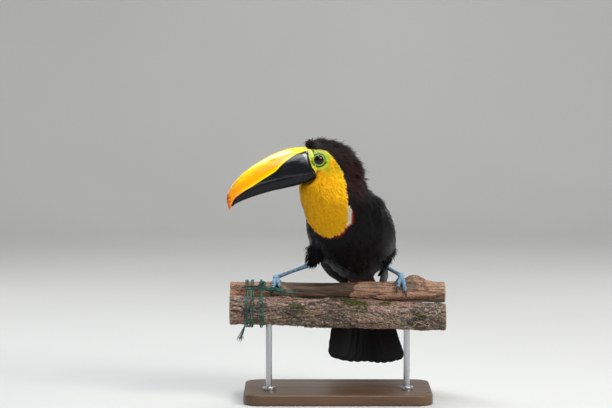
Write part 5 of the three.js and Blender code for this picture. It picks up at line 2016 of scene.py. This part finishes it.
class TOUCAN_OT_perch(Operator):
    """Build both branches with their moss and rootlets"""
    bl_idname = "toucan.perch"
    bl_label = "Perch"

    def execute(self, context):
        settings = context.scene.toucan.perch
        bark, rough, wood = tuple(settings.bark), tuple(settings.rough_bark), tuple(settings.wood)
        rear = build_branch("rear_branch", REAR_AXIS, rear_radius, rear_relief, 120, 380, rear_worn_and_shadowed)
        front = build_branch("front_branch", FRONT_AXIS, front_radius, front_relief, 150, 400)
        pale = tuple(settings.flecks)
        smooth_finish = bark_finish("smooth_bark", bark, toned(bark, 0.4), pale, wood, 0.7, 0.35)
        finish_piece(rear, smooth_finish, "bark", "perch_rear")
        rough_finish = bark_finish("rough_bark", rough, toned(rough, 0.24), pale, wood, 0.85, 0.85,
                                   tuple(settings.lichen))
        finish_piece(front, rough_finish, "mossy_bark", "perch_front")
        rng = np.random.default_rng(settings.seed)
        green = Finish("moss_leaves", Roughness=0.8)
        green.colour(green.attribute("shade", "Color"))
        finish_piece(build_moss(settings, rng), green, "mossy_bark", "perch_front")
        dry = Finish("dry_roots", Roughness=0.8)
        dry.colour(dry.blend(dry.mottle(150, 4), (0.30, 0.20, 0.12), (0.58, 0.45, 0.33)))
        finish_piece(build_rootlets(rng), dry, "mossy_bark", "perch_front")
        return {"FINISHED"}


class TOUCAN_OT_lashing(Operator):
    """Build the twine that ties the branches"""
    bl_idname = "toucan.lashing"
    bl_label = "Lashing"

    def execute(self, context):
        settings = context.scene.toucan.perch
        twine = build_lashing(np.random.default_rng(settings.seed + 3))
        finish_piece(twine, twine_finish(settings), "twine", "perch_lashing")
        return {"FINISHED"}


class TOUCAN_OT_stand(Operator):
    """Build the display stand"""
    bl_idname = "toucan.stand"
    bl_label = "Stand"

    def execute(self, context):
        finish_piece(build_base(), wood_finish(context.scene.toucan.stand), "stand_wood", "stand_base")
        steel = steel_finish()
        for side, name in SIDES.items():
            finish_piece(build_rod(side), steel, "stand_steel", "stand_rod_" + name)
        return {"FINISHED"}


class TOUCAN_OT_stage(Operator):
    """Set the backdrop, lights and camera"""
    bl_idname = "toucan.stage"
    bl_label = "Stage"

    def execute(self, context):
        settings = context.scene.toucan.stage
        build_backdrop(settings)
        chest = (0, -40, 250)
        add_light("key_light", (1650, -1350, 1450), chest, (900, 900), settings.key, (1.0, 0.97, 0.92))
        add_light("front_light", (830, -1560, 1200), chest, (800, 800), settings.front, (0.93, 0.97, 1.0))
        add_light("fill_light", (-1700, -1500, 600), chest, (1200, 1200), settings.fill, (0.93, 0.96, 1.0))
        add_light("top_light", (-230, -140, 1620), (65, 44, 300), (2000, 480), settings.top, (0.93, 0.97, 1.0))
        add_light("rim_right", (1300, 1300, 900), chest, (500, 900), settings.rim)
        add_light("rim_left", (-1300, 1100, 1000), chest, (500, 900), settings.rim)
        add_light("wall_light", (0, 1400, 3300), (0, 3400, 1200), (3000, 600), settings.wall)
        world = bpy.data.worlds.new("studio_air")
        world.use_nodes = True
        air = world.node_tree.nodes["Background"].inputs
        air["Color"].default_value = (0.95, 0.97, 1.0, 1)
        air["Strength"].default_value = settings.surround
        context.scene.world = world
        context.scene.view_settings.view_transform = "Standard"
        build_camera()
        return {"FINISHED"}


class TOUCAN_PT_panel(Panel):
    """Every size and colour of the toucan, and a button for each part"""
    bl_idname = "TOUCAN_PT_panel"
    bl_label = "Toucan"
    bl_space_type = "VIEW_3D"
    bl_region_type = "UI"
    bl_category = "Toucan"

    def draw(self, context):
        settings = context.scene.toucan
        for group in (settings.plumage, settings.bill, settings.feet, settings.perch, settings.stand, settings.stage):
            box = self.layout.box()
            for name in group.__annotations__:
                box.prop(group, name)
        for operator in OPERATORS:
            self.layout.operator(operator.bl_idname)


GROUPS = (ToucanPlumage, ToucanBill, ToucanFeet, ToucanPerch, ToucanStand, ToucanStage, ToucanSettings)
OPERATORS = (TOUCAN_OT_skin, TOUCAN_OT_coat, TOUCAN_OT_wings, TOUCAN_OT_tail, TOUCAN_OT_bill, TOUCAN_OT_eyes,
             TOUCAN_OT_feet, TOUCAN_OT_perch, TOUCAN_OT_lashing, TOUCAN_OT_stand, TOUCAN_OT_stage)


def register():
    for one in (*GROUPS, *OPERATORS, TOUCAN_PT_panel):
        bpy.utils.register_class(one)
    bpy.types.Scene.toucan = PointerProperty(type=ToucanSettings, description="Settings of the toucan")


def unregister():
    del bpy.types.Scene.toucan
    for one in reversed((*GROUPS, *OPERATORS, TOUCAN_PT_panel)):
        bpy.utils.unregister_class(one)


def main():
    register()
    bpy.ops.toucan.skin()
    bpy.ops.toucan.coat()
    bpy.ops.toucan.wings()
    bpy.ops.toucan.tail()
    bpy.ops.toucan.bill()
    bpy.ops.toucan.eyes()
    bpy.ops.toucan.feet()
    bpy.ops.toucan.perch()
    bpy.ops.toucan.lashing()
    bpy.ops.toucan.stand()
    bpy.ops.toucan.stage()


if __name__ == "__main__":
    main()
